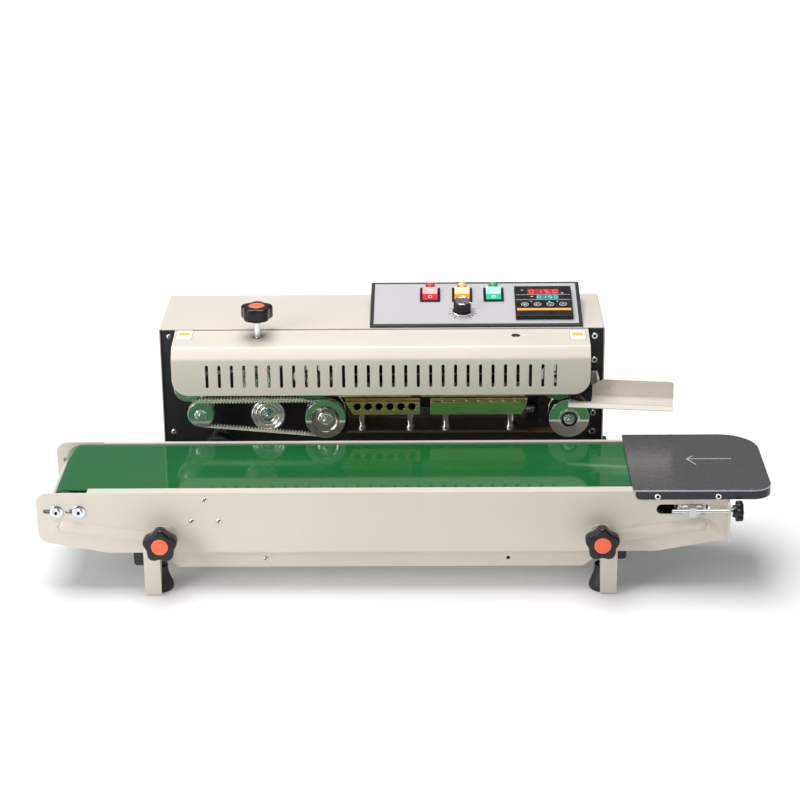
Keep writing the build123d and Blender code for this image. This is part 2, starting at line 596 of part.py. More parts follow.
def console_frame():
    """Black wedge-shaped box under the sloping panel, open below."""
    x0, x1 = CONSOLE_X
    base = BODY_Z[1] + 0.02
    rear_y = CONSOLE_Y + CONSOLE_LENGTH * math.cos(tilt)
    rear_z = CONSOLE_FRONT_Z + CONSOLE_LENGTH * math.sin(tilt)
    outline = [(CONSOLE_Y, base), (CONSOLE_Y, CONSOLE_FRONT_Z), (rear_y, rear_z), (rear_y, base)]
    wedge = side_slab(outline, x0, x1)
    wedge -= on_console(box(x0 + 4.5, x1 - 4.5, 4.5, CONSOLE_LENGTH - 4.5, -1.6, 5))
    hollow = box(x0 + 8, x1 - 8, 8, CONSOLE_LENGTH - 8, -60, 5)
    wedge -= on_console(hollow) & box(x0 + 2, x1 - 2, CONSOLE_Y + 2, rear_y - 2, base - 5, 300)
    return wedge


def console_plate():
    """Grey face plate let into the frame, with the openings for switches, knob and controller."""
    x0, x1 = CONSOLE_X
    plate = box(x0 + 4.6, x1 - 4.6, 4.6, CONSOLE_LENGTH - 4.6, -1.5, 0)
    for x in ROCKER_X:
        plate -= box(x - 10.6, x + 10.6, ROCKER_S - 14.1, ROCKER_S + 14.1, -5, 5)
        plate -= rod_z(x, LAMP_S, 3.2, -5, 5)
    plate -= rod_z(*SPEED_KNOB_XS, 3.5, -5, 5)
    x0, x1, s0, s1 = CONTROLLER_XS
    plate -= box(x0 + 1.9, x1 - 1.9, s0 + 1.9, s1 - 1.9, -5, 5)
    return on_console(plate)


def switch_bezels():
    """Rocker switch bodies with their rims, and the three round pilot lamps behind them."""
    pieces = []
    for x in ROCKER_X:
        rim = box(x - 12.5, x + 12.5, ROCKER_S - 15.5, ROCKER_S + 15.5, 0.02, 2.2)
        rim += box(x - 10.5, x + 10.5, ROCKER_S - 14.0, ROCKER_S + 14.0, -16, 1)
        rim -= box(x - 9.6, x + 9.6, ROCKER_S - 13.2, ROCKER_S + 13.2, -12, 5)
        pieces.append(on_console(rim))
        lamp = rod_z(x, LAMP_S, 5.6, 0.02, 3.2) + rod_z(x, LAMP_S, 3.0, -9, 1)
        pieces.append(on_console(lamp))
    return Compound(pieces)


def rocker(x):
    """A rocker that turns about a level axis on the console face, drawn in its front-down place."""
    profile = [(-12.4, 4.0), (0, 2.6), (12.4, 4.0), (11.8, -1.5), (0, -7.0), (-11.8, -1.5)]
    body = side_slab(profile, -9.2, 9.2)
    return on_console(Pos(x, ROCKER_S, 0) * Rot(8, 0, 0) * body)


def speed_knob():
    skirt = extrude(Circle(12.6), 3.0, taper=8)
    barrel = Pos(0, 0, 3.0) * extrude(Circle(11.2), 12.6, taper=3)
    spindle = Pos(0, 0, -10.0) * Cylinder(3.0, 20.0)
    knob = skirt + barrel + spindle - Pos(8.2, 0, 15.4) * Box(7, 1.4, 2.0)
    return on_console(Pos(*SPEED_KNOB_XS, 0.3) * knob)


def controller_case():
    """Temperature controller: the case behind the panel with its front frame, and the window."""
    x0, x1, s0, s1 = CONTROLLER_XS
    frame = box(x0, x1, s0, s1, 0.02, 6.0) + box(x0 + 2, x1 - 2, s0 + 2, s1 - 2, -52, 1)
    for x in BUTTON_X:
        frame -= rod_z(x, BUTTON_S, BUTTON_R + 0.25, 2.5, 8)
    frame -= box(x0 + 8, x1 - 8, 50.5, 78.0, 5.0, 8)
    window = box(x0 + 8.1, x1 - 8.1, 50.6, 77.9, 5.02, 5.9)
    return Compound([on_console(frame), on_console(window)])


def controller_button(x):
    return on_console(rod_z(x, BUTTON_S, BUTTON_R, 3.2, 6.8))


# ---------------------------------------------------------------- seal head

def seal_wheel(centre, guide_track, rear_y, gear_phase=None):
    """A band wheel on its shaft. The left wheels also have a front track for the toothed belt."""
    x, z = centre
    y0, y1 = WHEEL_Y
    wheel = rod_y(x, z, WHEEL_R - 0.1, SEAL_BAND_Y[0] - 1, SEAL_BAND_Y[1] + 1)
    wheel += rod_y(x, z, WHEEL_R + 0.8, SEAL_BAND_Y[1] + 0.5, y1)
    if guide_track:
        wheel += rod_y(x, z, GUIDE_TRACK_R - 0.6, y0 + 1, SEAL_BAND_Y[0])
        wheel += rod_y(x, z, WHEEL_R + 0.8, GUIDE_BELT_Y[1] + 0.6, SEAL_BAND_Y[0] - 0.6)
        wheel += rod_y(x, z, WHEEL_R + 0.8, y0, y0 + 2)
    else:
        wheel += rod_y(x, z, WHEEL_R + 0.8, y0, SEAL_BAND_Y[0] - 0.6)
    wheel -= rod_y(x, z, 17.0, y0 - 1, y0 + 3) - rod_y(x, z, 9.5, y0 - 2, y0 + 4)
    nose = rod_y(x, z, 8.6, y0 - 0.8, y0 + 3) + hex_y(x, z, 10.0, y0 - 5.0, y0 - 0.8)
    wheel = wheel + nose + rod_y(x, z, SHAFT_R, y1 - 1, rear_y)
    if gear_phase is not None:
        wheel += spur_gear(x, z, GEAR_TEETH, gear_module(), *GEAR_Y, gear_phase)
    return wheel


def gear_module():
    return math.hypot(UPPER_LEFT[0] - LOWER_LEFT[0], UPPER_Z - LOWER_Z) / GEAR_TEETH


def gear_direction():
    return math.atan2(UPPER_Z - LOWER_Z, UPPER_LEFT[0] - LOWER_LEFT[0])


def lower_left_wheel():
    wheel = seal_wheel(LOWER_LEFT, True, 112.0, gear_direction())
    return wheel + rod_y(*LOWER_LEFT, 14.0, *CHAIN_Y)


def upper_left_wheel():
    half_pitch = math.pi / GEAR_TEETH
    return seal_wheel(UPPER_LEFT, True, GEAR_Y[1] + 2, gear_direction() + math.pi + half_pitch)


def guide_wheel(centre):
    x, z = centre
    wheel = rod_y(x, z, GUIDE_R - 0.6, WHEEL_Y[0] + 1, 35.0)
    wheel += rod_y(x, z, GUIDE_R + 1.6, WHEEL_Y[0], WHEEL_Y[0] + 2)
    wheel += rod_y(x, z, GUIDE_R + 1.6, GUIDE_BELT_Y[1] + 0.4, 35.0)
    wheel += rod_y(x, z, 6.6, WHEEL_Y[0] - 1.0, WHEEL_Y[0] + 1) + hex_y(x, z, 7.0, WHEEL_Y[0] - 4, WHEEL_Y[0] - 1)
    return wheel + rod_y(x, z, SHAFT_R - 1, 34.0, MOUNT_Y[1] + 3)


def pressure_wheel(centre, rear_y):
    """Rubber pressing wheel with a steel cheek, its washer and nut in front."""
    x, z = centre
    wheel = rod_y(x, z, PRESS_R, 36.0, 54.0) + rod_y(x, z, PRESS_R - 1.7, 33.2, 36.5)
    wheel += rod_y(x, z, 7.0, 31.5, 34) + hex_y(x, z, 8.0, 28.0, 31.5)
    return wheel + rod_y(x, z, SHAFT_R, 53.0, rear_y)


def seal_bands():
    lower = [(*LOWER_LEFT, WHEEL_R), (*LOWER_RIGHT, WHEEL_R)]
    upper = [(*UPPER_LEFT, WHEEL_R), (*UPPER_RIGHT, WHEEL_R)]
    return Compound([belt(wheels, SEAL_BAND_T, *SEAL_BAND_Y) for wheels in (lower, upper)])


def guide_belts():
    lower = [(*LOWER_GUIDE, GUIDE_R - 0.4), (*LOWER_LEFT, GUIDE_TRACK_R)]
    upper = [(*UPPER_GUIDE, GUIDE_R - 0.4), (*UPPER_LEFT, GUIDE_TRACK_R)]
    return Compound([belt(wheels, GUIDE_BELT_T, *GUIDE_BELT_Y) for wheels in (lower, upper)])


def shaft_bearings():
    """Flanged bushings in the mounting plate."""
    bushings = []
    seats = [(LOWER_LEFT, SHAFT_R), (UPPER_LEFT, SHAFT_R), (LOWER_PRESS, SHAFT_R), (DRIVE_ROLLER, 5.0)]
    seats += [(LOWER_GUIDE, SHAFT_R - 1), (UPPER_GUIDE, SHAFT_R - 1)]
    for (x, z), shaft_r in seats:
        bush = rod_y(x, z, 9.98, MOUNT_Y[0] - 1, MOUNT_Y[1] + 1.5)
        bush += rod_y(x, z, 13.0, MOUNT_Y[0] - 7, MOUNT_Y[0] - 0.02)
        bush -= rod_y(x, z, shaft_r + RUN_GAP, MOUNT_Y[0] - 8, MOUNT_Y[1] + 3)
        bushings.append(bush)
    return Compound(bushings)


def wheel_slide():
    """Sliding bracket of the right-hand wheels, pulled by the band tension spring."""
    slide = box(162.0, 226.0, 57.0, 66.0, 116.0, 214.0)
    slide -= box(156.0, 170.0, 50.0, 70.0, 158.0, 176.0)
    for centre in (LOWER_RIGHT, UPPER_RIGHT):
        slide -= rod_y(*centre, SHAFT_R + RUN_GAP, 56, 67)
    guide = box(190.0, 206.0, 66.0, 76.0, LOWER_Z - 6.3, LOWER_Z + 6.3)
    slide += guide - rod_y(*LOWER_RIGHT, SHAFT_R + RUN_GAP, 56, 77)
    slide -= rod_y(*LOWER_RIGHT, SHAFT_R + RUN_GAP, 56, 77)
    for z in (145.4, 126.0):
        slide += rod_y(168.5, z, 3.6, 54.2, 57.1)
    return slide


def slide_spring():
    """Band tension spring on its guide rod, left of the sliding bracket, as a closed sleeve."""
    y, z, x0 = 61.5, 141.2, 140.0
    coil = rod_x(y, z, 5.0, x0 + 2.6, x0 + 17.3) - rod_x(y, z, 3.6, x0 + 1, x0 + 19)
    collar = rod_x(y, z, 5.4, x0, x0 + 2.6)
    return coil + collar + rod_x(y, z, 2.0, x0, x0 + 18.4)


def block_holder():
    """Shelf and posts of the lower blocks, the rail of the upper ones, and the band tension spring."""
    shelf = box(-71.0, 148.0, BLOCK_Y[0], MOUNT_Y[0] - 0.02, SHELF_TOP - 2.0, SHELF_TOP)
    shelf += box(-71.0, 148.0, MOUNT_Y[0] - 2.5, MOUNT_Y[0] - 0.02, SHELF_TOP - 1, SHELF_TOP + 14)
    for x in POST_X:
        shelf += rod_z(x, POST_Y, POST_R, SHELF_TOP - 5, 153.5)
        shelf += rod_z(x, POST_Y, POST_R + 1.6, SHELF_TOP - 0.5, SHELF_TOP + 1.6)
    rail = box(-60.0, 140.0, 30.0, MOUNT_Y[0] - 0.02, 196.0, 198.5)
    rail += box(-60.0, 140.0, MOUNT_Y[0] - 2.5, MOUNT_Y[0] - 0.02, 196.0, 210.0)
    for x in POST_X:
        rail += rod_z(x, POST_Y, POST_R, 188.1, 204.0)
    return Compound([shelf, rail, slide_spring()])


def block(points, step_z):
    """A brass block whose front edge is stepped back next to the bands."""
    body = front_slab(points, *BLOCK_Y)
    return body - box(-300, 300, BLOCK_Y[0] - 1, BLOCK_Y[0] + 7.0, *step_z)


def lower_blocks():
    """The cooling block with its six cross holes, and the heating block with its heater bore."""
    top, bottom, step_z = 165.7, 147.2, (163.4, 170.0)
    cooling = block([(-73.6, top), (18.3, top), (18.3, bottom), (-61.9, bottom)], step_z)
    for i in range(6):
        cooling -= rod_y(-57.3 + 13.24 * i, 157.4, 4.6, BLOCK_Y[0] - 1, BLOCK_Y[1] + 1)
    heating = block([(30.7, top), (148.7, top), (141.2, bottom), (30.7, bottom)], step_z)
    heating -= rod_x(51.0, 157.0, 2.2, 20, 160)
    for x in POST_X:
        post_hole = rod_z(x, POST_Y, POST_R + RUN_GAP, bottom - 1, 156.0)
        cooling -= post_hole
        heating -= post_hole
    return cooling, heating


def upper_blocks():
    top, bottom, step_z = 188.0, 167.7, (160.0, 170.0)
    cooling = block([(-80.0, bottom), (8.0, bottom), (8.0, top), (-68.0, top)], step_z)
    heating = block([(20.0, bottom), (146.0, bottom), (138.0, top), (20.0, top)], step_z)
    return Compound([cooling, heating])


def pressure_slide():
    """Sliding block of the upper pressure wheel."""
    x, z = UPPER_PRESS
    slide = box(x - 15, x + 15, 57.0, 69.0, z - 14, 214.0)
    slide += box(x - 15, x + 15, 40.0, 58.0, 214.0 - 0.1, 217.0)
    slide -= rod_y(x, z, SHAFT_R + RUN_GAP, 55, 70)
    slide -= box(x - 10, x + 10, 39.0, 57.0, 216.9, 220.0)
    return slide


def pressure_knob():
    """Pressure screw with its lobed grip and cap. It stands through the guard."""
    x, y = PRESSURE_XY
    screw = rod_z(x, y, 3.75, 221.0, 266.0) + rod_z(x, y, 8.0, 226.05, 228.5)
    grip = Pos(x, y, 262.0) * lobed(19.0, 7, 17.0, 3.2)
    grip = chamfer(grip.faces().sort_by(Axis.Z)[-1].outer_wire().edges(), 1.5)
    hub = rod_z(x, y, 9.0, 259.0, 262.1)
    cap = rod_z(x, y, 9.8, 278.5, 280.4)
    return screw + grip + hub + cap


def pressure_spring():
    """Pressure spring as a closed sleeve of the coil's inner and outer size."""
    low, high = 217.05, 226.0
    return rod_z(*PRESSURE_XY, 7.4, low, high) - rod_z(*PRESSURE_XY, 5.5, low - 1, high + 1)


def infeed_guide():
    """Bent sheet that leads the bag mouth to the bands, with the bracket that holds it."""
    length, t = 102.0, 1.5
    place = Pos(222.0, 39.5, 164.2) * Rot(0, 0, -7.1)
    wall = box(0, length, 0, t, 0, 22.5)
    shelf = box(-22.5, length, -27.0, t, 0, t)
    lip = Pos((length - 22.5) / 2, -27.0, 0.75) * Rot(45, 0, 0) * Pos(0, -2.6, 0) * Box(length + 22.5, 6.4, t)
    sheet = wall + shelf + lip
    sheet -= front_slab([(-1, 11.0), (19.0, 23.0), (-1, 23.0)], -5, 5)
    corner = box(length - 4, length + 1, -1, t + 1, 18.5, 24) - rod_y(length - 4, 18.5, 4.0, -2, t + 2)
    sheet -= corner
    sheet -= box(-30.0, 4.5, -21.6, 5.0, -3, 30)
    bracket = box(232.0, 235.0, 40.2, MOUNT_Y[0] - 0.02, 168.0, 186.0)
    bracket -= place * box(-5, 60, -20, t, -5, 40)
    bracket += box(218.0, 235.0, MOUNT_Y[0] - 2.5, MOUNT_Y[0] - 0.02, 168.0, 186.0)
    return place * sheet + bracket


# ---------------------------------------------------------------- drive and electrics

def conveyor_drive_shaft():
    """Shaft from the body to the conveyor's drive roller, with the coupling disc and sprocket."""
    x, z = DRIVE_ROLLER
    shaft = rod_y(x, z, 5.0, 24.0, 104.0)
    coupling = rod_y(x, z, 18.5, 24.0, 42.0) - rod_y(x, z, 12.0, 23.0, 27.0) + rod_y(x, z, 8.0, 21.0, 30.0)
    return shaft + coupling + rod_y(x, z, 14.0, *CHAIN_Y)


def drive_roller():
    x, z = DRIVE_ROLLER
    body = rod_y(x, z, ROLLER_R - 0.1, *ROLLER_Y)
    body += rod_y(x, z, 8.0, -161.8, 12.0)
    return body + rod_y(x, z, 15.0, 4.0, 16.0)


def drive_chain():
    wheels = [(*DRIVE_ROLLER, 14.3), (*LOWER_LEFT, 14.3)]
    return belt(wheels, 3.0, CHAIN_Y[0] + 0.8, CHAIN_Y[1] - 0.8)


def drive_motor():
    """Gear motor on the lower left wheel's shaft, and the chain that takes its drive to the conveyor."""
    x, z = LOWER_LEFT
    gearbox = box(x - 32, x + 32, 104.0, 132.0, z - 52, z + 28)
    gearbox -= rod_y(x, z, SHAFT_R + RUN_GAP, 103, 113)
    motor = rod_y(x, z - 22, 27.0, 132.0, 188.0)
    floor = BODY_Z[0] + SHEET_T
    feet = box(x - 30, x + 30, 106.0, 180.0, floor, floor + 3)
    feet += box(x - 20, x + 20, 106.0, 130.0, floor + 2.5, z - 51)
    return Compound([gearbox + motor + feet, drive_chain()])


def fan_housing():
    """Square frame of the cooling fan on the left wall, and its round outer grille."""
    x = BODY_X[0] + SHEET_T
    y, z = FAN_YZ
    frame = box(x + 0.1, x + 20, y - 25, y + 25, z - 25, z + 25) - rod_x(y, z, 22.0, x - 5, x + 30)
    frame += rod_x(y, z, 6.5, x + 14, x + 17)
    for angle in (0, 90):
        frame += Pos(x + 15.5, y, z) * Rot(angle, 0, 0) * Box(3.0, 3.0, 46.0)
    grille = rod_x(y, z, 21.0, BODY_X[0] - 2.0, BODY_X[0] - 0.02)
    for radius in (18.0, 12.5, 7.0):
        hole = rod_x(y, z, radius, BODY_X[0] - 3, BODY_X[0] + 1)
        grille -= hole - rod_x(y, z, radius - 3.5, BODY_X[0] - 4, BODY_X[0] + 2)
    for angle in (0, 60, 120):
        grille += Pos(BODY_X[0] - 1.0, y, z) * Rot(angle, 0, 0) * Box(1.9, 2.0, 41.0)
    return Compound([frame, grille])


def fan_rotor():
    x = BODY_X[0] + SHEET_T
    rotor = rod_x(*FAN_YZ, 8.0, x + 2.0, x + 13.0)
    for i in range(7):
        blade = Pos(0, 0, 13.0) * Rot(0, 0, 32) * Box(9.0, 1.2, 13.0)
        rotor += Pos(x + 7.5, *FAN_YZ) * Rot(360 / 7 * i, 0, 0) * blade
    return rotor


def control_board():
    """Speed control board on its standoffs, with a transformer and a heat sink."""
    floor = BODY_Z[0] + SHEET_T
    top = floor + 15.6
    board = box(20.0, 130.0, 110.0, 180.0, floor + 14, top)
    for x in (26.0, 124.0):
        for y in (116.0, 174.0):
            board += rod_z(x, y, 3.0, floor, floor + 14.5)
    board += box(30.0, 62.0, 120.0, 150.0, top - 0.2, top + 30)
    board += box(80.0, 120.0, 150.0, 172.0, top - 0.2, top + 22)
    for i in range(5):
        board += rod_z(76.0 + 10.0 * i, 125.0, 3.6, top - 0.2, top + 10)
    return board


def power_inlet():
    """Mains inlet on the back, and the round fuse holder on the right wall."""
    y = BODY_Y[1]
    inlet = box(160.0, 194.0, y + 0.02, y + 2.6, 77.5, 103.0)
    inlet += box(163.5, 190.5, y - 18, y + 1, 80.5, 100.0)
    inlet -= box(166.0, 188.0, y - 13, y + 5, 82.5, 98.0)
    for x in (171.0, 177.0, 183.0):
        inlet += box(x - 1, x + 1, y - 16, y - 2, 87.5, 92.0)
    x = BODY_X[1]
    fuse = rod_x(*FUSE_YZ, 12.5, x + 0.02, x + 2.2) + rod_x(*FUSE_YZ, 9.8, x - 26, x + 1)
    return Compound([inlet, fuse])


# ---------------------------------------------------------------- write every node

lower_cooling_block, lower_heating_block = lower_blocks()

NODES = {
    "housing_shell": housing_shell,
    "rear_cover": rear_cover,
    "mounting_plate": mounting_plate,
    "housing_screws": housing_screws,
    "guard": guard,
    "console_frame": console_frame,
    "console_plate": console_plate,
    "switch_bezels": switch_bezels,
    "controller_case": controller_case,
    "support_arms": support_arms,
    "front_legs": lambda: Compound([front_leg("left"), front_leg("right")]),
    "rubber_feet": rubber_feet,
    "block_holder": block_holder,
    "upper_blocks": upper_blocks,
    "lower_heating_block": lambda: lower_heating_block,
    "lower_cooling_block": lambda: lower_cooling_block,
    "shaft_bearings": shaft_bearings,
    "infeed_guide": infeed_guide,
    "seal_bands": seal_bands,
    "guide_belts": guide_belts,
    "lower_left_wheel": lower_left_wheel,
    "upper_left_wheel": upper_left_wheel,
    "lower_right_wheel": lambda: seal_wheel(LOWER_RIGHT, False, 74.0),
    "upper_right_wheel": lambda: seal_wheel(UPPER_RIGHT, False, 65.5),
    "wheel_slide": wheel_slide,
    "lower_guide_wheel": lambda: guide_wheel(LOWER_GUIDE),
    "upper_guide_wheel": lambda: guide_wheel(UPPER_GUIDE),
    "lower_pressure_wheel": lambda: pressure_wheel(LOWER_PRESS, MOUNT_Y[1] + 3),
    "upper_pressure_wheel": lambda: pressure_wheel(UPPER_PRESS, 68.5),
    "pressure_slide": pressure_slide,
    "pressure_spring": pressure_spring,
    "pressure_knob": pressure_knob,
    "drive_motor": drive_motor,
    "conveyor_drive_shaft": conveyor_drive_shaft,
    "fan_housing": fan_housing,
    "fan_rotor": fan_rotor,
    "control_board": control_board,
    "power_inlet": power_inlet,
    "speed_knob": speed_knob,
    "red_switch": lambda: rocker(ROCKER_X[0]),
    "amber_switch": lambda: rocker(ROCKER_X[1]),
    "green_switch": lambda: rocker(ROCKER_X[2]),
    "set_button": lambda: controller_button(BUTTON_X[0]),
    "shift_button": lambda: controller_button(BUTTON_X[1]),
    "down_button": lambda: controller_button(BUTTON_X[2]),
    "up_button": lambda: controller_button(BUTTON_X[3]),
    "conveyor_front_plate": conveyor_front_plate,
    "conveyor_rear_plate": conveyor_rear_plate,
    "belt_bed": belt_bed,
    "conveyor_belt": conveyor_belt,
    "roller_bearings": roller_bearings,
    "conveyor_screws": conveyor_screws,
    "feed_plate": feed_plate,
    "drive_roller": drive_roller,
    "head_roller": lambda: roller(HEAD_ROLLER),
    "tail_roller": lambda: roller(TAIL_ROLLER),
    "tail_blocks": tail_blocks,
    "front_tension_screw": front_tension_screw,
    "left_star_knob": lambda: star_knob(STAR_KNOBS["left"]),
    "right_star_knob": lambda: star_knob(STAR_KNOBS["right"]),
}

for node, make in NODES.items():
    save(node, make())
    print(node)
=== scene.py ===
import bmesh
import bpy
import json
import math
from mathutils import Matrix, Vector


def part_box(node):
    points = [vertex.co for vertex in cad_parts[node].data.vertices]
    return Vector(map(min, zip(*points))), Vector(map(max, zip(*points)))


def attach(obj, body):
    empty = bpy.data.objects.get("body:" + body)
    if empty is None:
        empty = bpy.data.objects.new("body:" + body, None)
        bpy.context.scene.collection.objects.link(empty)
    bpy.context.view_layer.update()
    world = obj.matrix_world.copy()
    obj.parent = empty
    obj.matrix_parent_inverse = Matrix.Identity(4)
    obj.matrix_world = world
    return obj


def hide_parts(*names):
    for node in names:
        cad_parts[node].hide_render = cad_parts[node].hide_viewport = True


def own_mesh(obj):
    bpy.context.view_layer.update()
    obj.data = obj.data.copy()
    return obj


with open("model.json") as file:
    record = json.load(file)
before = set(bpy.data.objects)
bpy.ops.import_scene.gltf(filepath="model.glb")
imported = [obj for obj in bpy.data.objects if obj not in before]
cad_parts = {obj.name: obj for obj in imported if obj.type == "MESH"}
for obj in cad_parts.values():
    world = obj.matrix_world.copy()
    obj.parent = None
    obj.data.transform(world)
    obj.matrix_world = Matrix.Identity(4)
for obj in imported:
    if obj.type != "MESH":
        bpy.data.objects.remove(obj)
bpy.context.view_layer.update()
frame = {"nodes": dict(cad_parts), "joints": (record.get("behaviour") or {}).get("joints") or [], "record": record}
nodes = frame["nodes"]
record = frame["record"]
bodyOf = {node: body for body, members in record["behaviour"]["bodies"].items() for node in members}
joints = {joint["name"]: joint for joint in frame["joints"]}
metresPerMm = 0.001


def boxMm(node):  # lowest and highest corner in millimetres
    low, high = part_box(node)
    return low / metresPerMm, high / metresPerMm


def axisMm(jointName):  # a point on a joint's axis in millimetres
    return Vector(joints[jointName]["pos_m"]) / metresPerMm


# camera, floor and lights

cameraSpec = {"place": (0.0376, -2.5025, 1.1409), "lens": 101.2, "sensor": 36.0,
              "pitchDown": 21.09, "yaw": -0.98, "roll": -0.62}


def makeCamera():
    data = bpy.data.cameras.new("camera")
    data.lens = cameraSpec["lens"]
    data.sensor_width = cameraSpec["sensor"]
    pitch, yaw, roll = (math.radians(cameraSpec[key]) for key in ("pitchDown", "yaw", "roll"))
    forward = Vector((math.sin(yaw) * math.cos(pitch), math.cos(yaw) * math.cos(pitch), -math.sin(pitch)))
    level = Vector((math.cos(yaw), -math.sin(yaw), 0))
    upright = level.cross(forward)
    right = math.cos(roll) * level + math.sin(roll) * upright
    up = -math.sin(roll) * level + math.cos(roll) * upright
    camera = bpy.data.objects.new("camera", data)
    bpy.context.scene.collection.objects.link(camera)
    turn = Matrix((right, up, -forward)).transposed().to_4x4()
    camera.matrix_world = Matrix.Translation(cameraSpec["place"]) @ turn
    bpy.context.scene.camera = camera


stageSpec = {"floorSize": 20.0, "floorColour": (0.80, 0.80, 0.80, 1), "floorRoughness": 0.9,
             "floorGlow": 0.16, "worldColour": (1, 1, 1, 1), "worldStrength": 0.22}
lightSpecs = {  # places and sizes in metres, power in watts, spread in degrees
    "topSoftbox": {"place": (-0.2, 0.0, 2.3), "target": (0, 0.0, 0.1), "size": (2.4, 1.5),
                   "power": 63, "spread": 180},
    "leftSoftbox": {"place": (-1.5, -1.3, 0.8), "target": (-0.35, -0.1, 0.1), "size": (0.8, 1.0),
                    "power": 9, "spread": 120},
    "backdropLight": {"place": (0, 3.8, 3.2), "target": (0, 3.8, 0), "size": (8.0, 5.0),
                      "power": 220, "spread": 60},
}


def makeStage():
    bm = bmesh.new()
    bmesh.ops.create_grid(bm, x_segments=2, y_segments=2, size=stageSpec["floorSize"] / 2)
    mesh = bpy.data.meshes.new("floor")
    bm.to_mesh(mesh)
    bm.free()
    floor = bpy.data.objects.new("floor", mesh)
    bpy.context.scene.collection.objects.link(floor)
    material = bpy.data.materials.new("paperFloor")
    material.use_nodes = True
    shader = material.node_tree.nodes["Principled BSDF"]
    shader.inputs["Base Color"].default_value = stageSpec["floorColour"]
    shader.inputs["Roughness"].default_value = stageSpec["floorRoughness"]
    shader.inputs["Emission Color"].default_value = stageSpec["floorColour"]
    shader.inputs["Emission Strength"].default_value = stageSpec["floorGlow"]
    mesh.materials.append(material)
    world = bpy.context.scene.world or bpy.data.worlds.new("world")
    bpy.context.scene.world = world
    world.use_nodes = True
    sky = world.node_tree.nodes["Background"]
    sky.inputs["Color"].default_value = stageSpec["worldColour"]
    sky.inputs["Strength"].default_value = stageSpec["worldStrength"]


def makeLights():
    for name, spec in lightSpecs.items():
        data = bpy.data.lights.new(name, "AREA")
        data.shape = "RECTANGLE"
        data.size, data.size_y = spec["size"]
        data.energy = spec["power"]
        data.spread = math.radians(spec["spread"])
        light = bpy.data.objects.new(name, data)
        bpy.context.scene.collection.objects.link(light)
        light.location = spec["place"]
        towards = Vector(spec["target"]) - Vector(spec["place"])
        light.rotation_euler = towards.to_track_quat("-Z", "Y").to_euler()


makeCamera()
makeStage()
makeLights()
bpy.context.scene.view_settings.view_transform = "Standard"
print("camera, floor and lights placed")


# finishes

mixSockets = (0, 6, 7)  # share, first colour and second colour of a Mix node


class Finish:  # one material with its shader and its object coordinates
    def __init__(self, name, colour, roughness, metallic=0.0):
        self.material = bpy.data.materials.new(name)
        self.material.use_nodes = True
        self.tree = self.material.node_tree
        self.shader = self.tree.nodes["Principled BSDF"]
        self.place = self.node("ShaderNodeTexCoord").outputs["Object"]
        self.set("Base Color", (*colour, 1))
        self.set("Roughness", roughness)
        self.set("Metallic", metallic)

    def node(self, kind, inputs=None, **settings):
        made = self.tree.nodes.new(kind)
        for key, value in settings.items():
            setattr(made, key, value)
        for key, value in (inputs or {}).items():
            if isinstance(value, bpy.types.NodeSocket):
                self.tree.links.new(value, made.inputs[key])
            else:
                made.inputs[key].default_value = value
        return made

    def set(self, socket, value):
        if isinstance(value, bpy.types.NodeSocket):
            self.tree.links.new(value, self.shader.inputs[socket])
        else:
            self.shader.inputs[socket].default_value = value

    def mapped(self, stretch=(1, 1, 1), turn=(0, 0, 0), centre=(0, 0, 0)):
        inputs = {"Vector": self.place, "Scale": stretch, "Rotation": turn, "Location": centre}
        return self.node("ShaderNodeMapping", inputs, vector_type="POINT").outputs["Vector"]

    def noise(self, scale, stretch=(1, 1, 1), detail=2.0):
        inputs = {"Vector": self.mapped(stretch), "Scale": scale, "Detail": detail}
        return self.node("ShaderNodeTexNoise", inputs).outputs["Fac"]

    def ranged(self, value, low, high, fromLow=0.3, fromHigh=0.7):
        inputs = {"Value": value, "From Min": fromLow, "From Max": fromHigh, "To Min": low, "To Max": high}
        return self.node("ShaderNodeMapRange", inputs).outputs["Result"]

    def math(self, operation, first, second=0.0):
        return self.node("ShaderNodeMath", {0: first, 1: second}, operation=operation).outputs[0]

    def blended(self, share, first, second, blend="MIX"):  # Mix node with its colour sockets by number
        made = self.tree.nodes.new("ShaderNodeMix")
        made.data_type = "RGBA"
        made.blend_type = blend
        for place, value in zip(mixSockets, (share, first, second)):
            if isinstance(value, bpy.types.NodeSocket):
                self.tree.links.new(value, made.inputs[place])
            else:
                made.inputs[place].default_value = (*value, 1)
        return made.outputs[2]

    def mottle(self, texture, colour, dark, pale, fromLow=0.3, fromHigh=0.7):  # a base colour that varies
        share = self.ranged(texture, 0, 1, fromLow, fromHigh)
        self.set("Base Color", self.blended(share, shade(colour, dark), shade(colour, pale)))

    def bump(self, height, strength, distance):
        inputs = {"Height": height, "Strength": strength, "Distance": distance}
        self.set("Normal", self.node("ShaderNodeBump", inputs).outputs["Normal"])


def shade(colour, amount):
    return tuple(min(1.0, max(0.0, part * amount)) for part in colour)


def powderCoat(name, colour, roughness=0.38, peel=0.35):
    finish = Finish(name, colour, roughness)
    cloud = finish.noise(9.0, detail=4.0)
    finish.mottle(cloud, colour, 0.965, 1.02)
    skin = finish.noise(520.0, detail=3.0)
    finish.set("Roughness", finish.ranged(skin, roughness - 0.05, roughness + 0.07))
    finish.bump(skin, peel, 0.00012)
    finish.set("Coat Weight", 0.12)
    finish.set("Coat Roughness", 0.25)
    return finish.material


# painted shade for the feed plate's front lip, multiplied into its colour
paintedLipShade = (0.13, 0.13, 0.15)


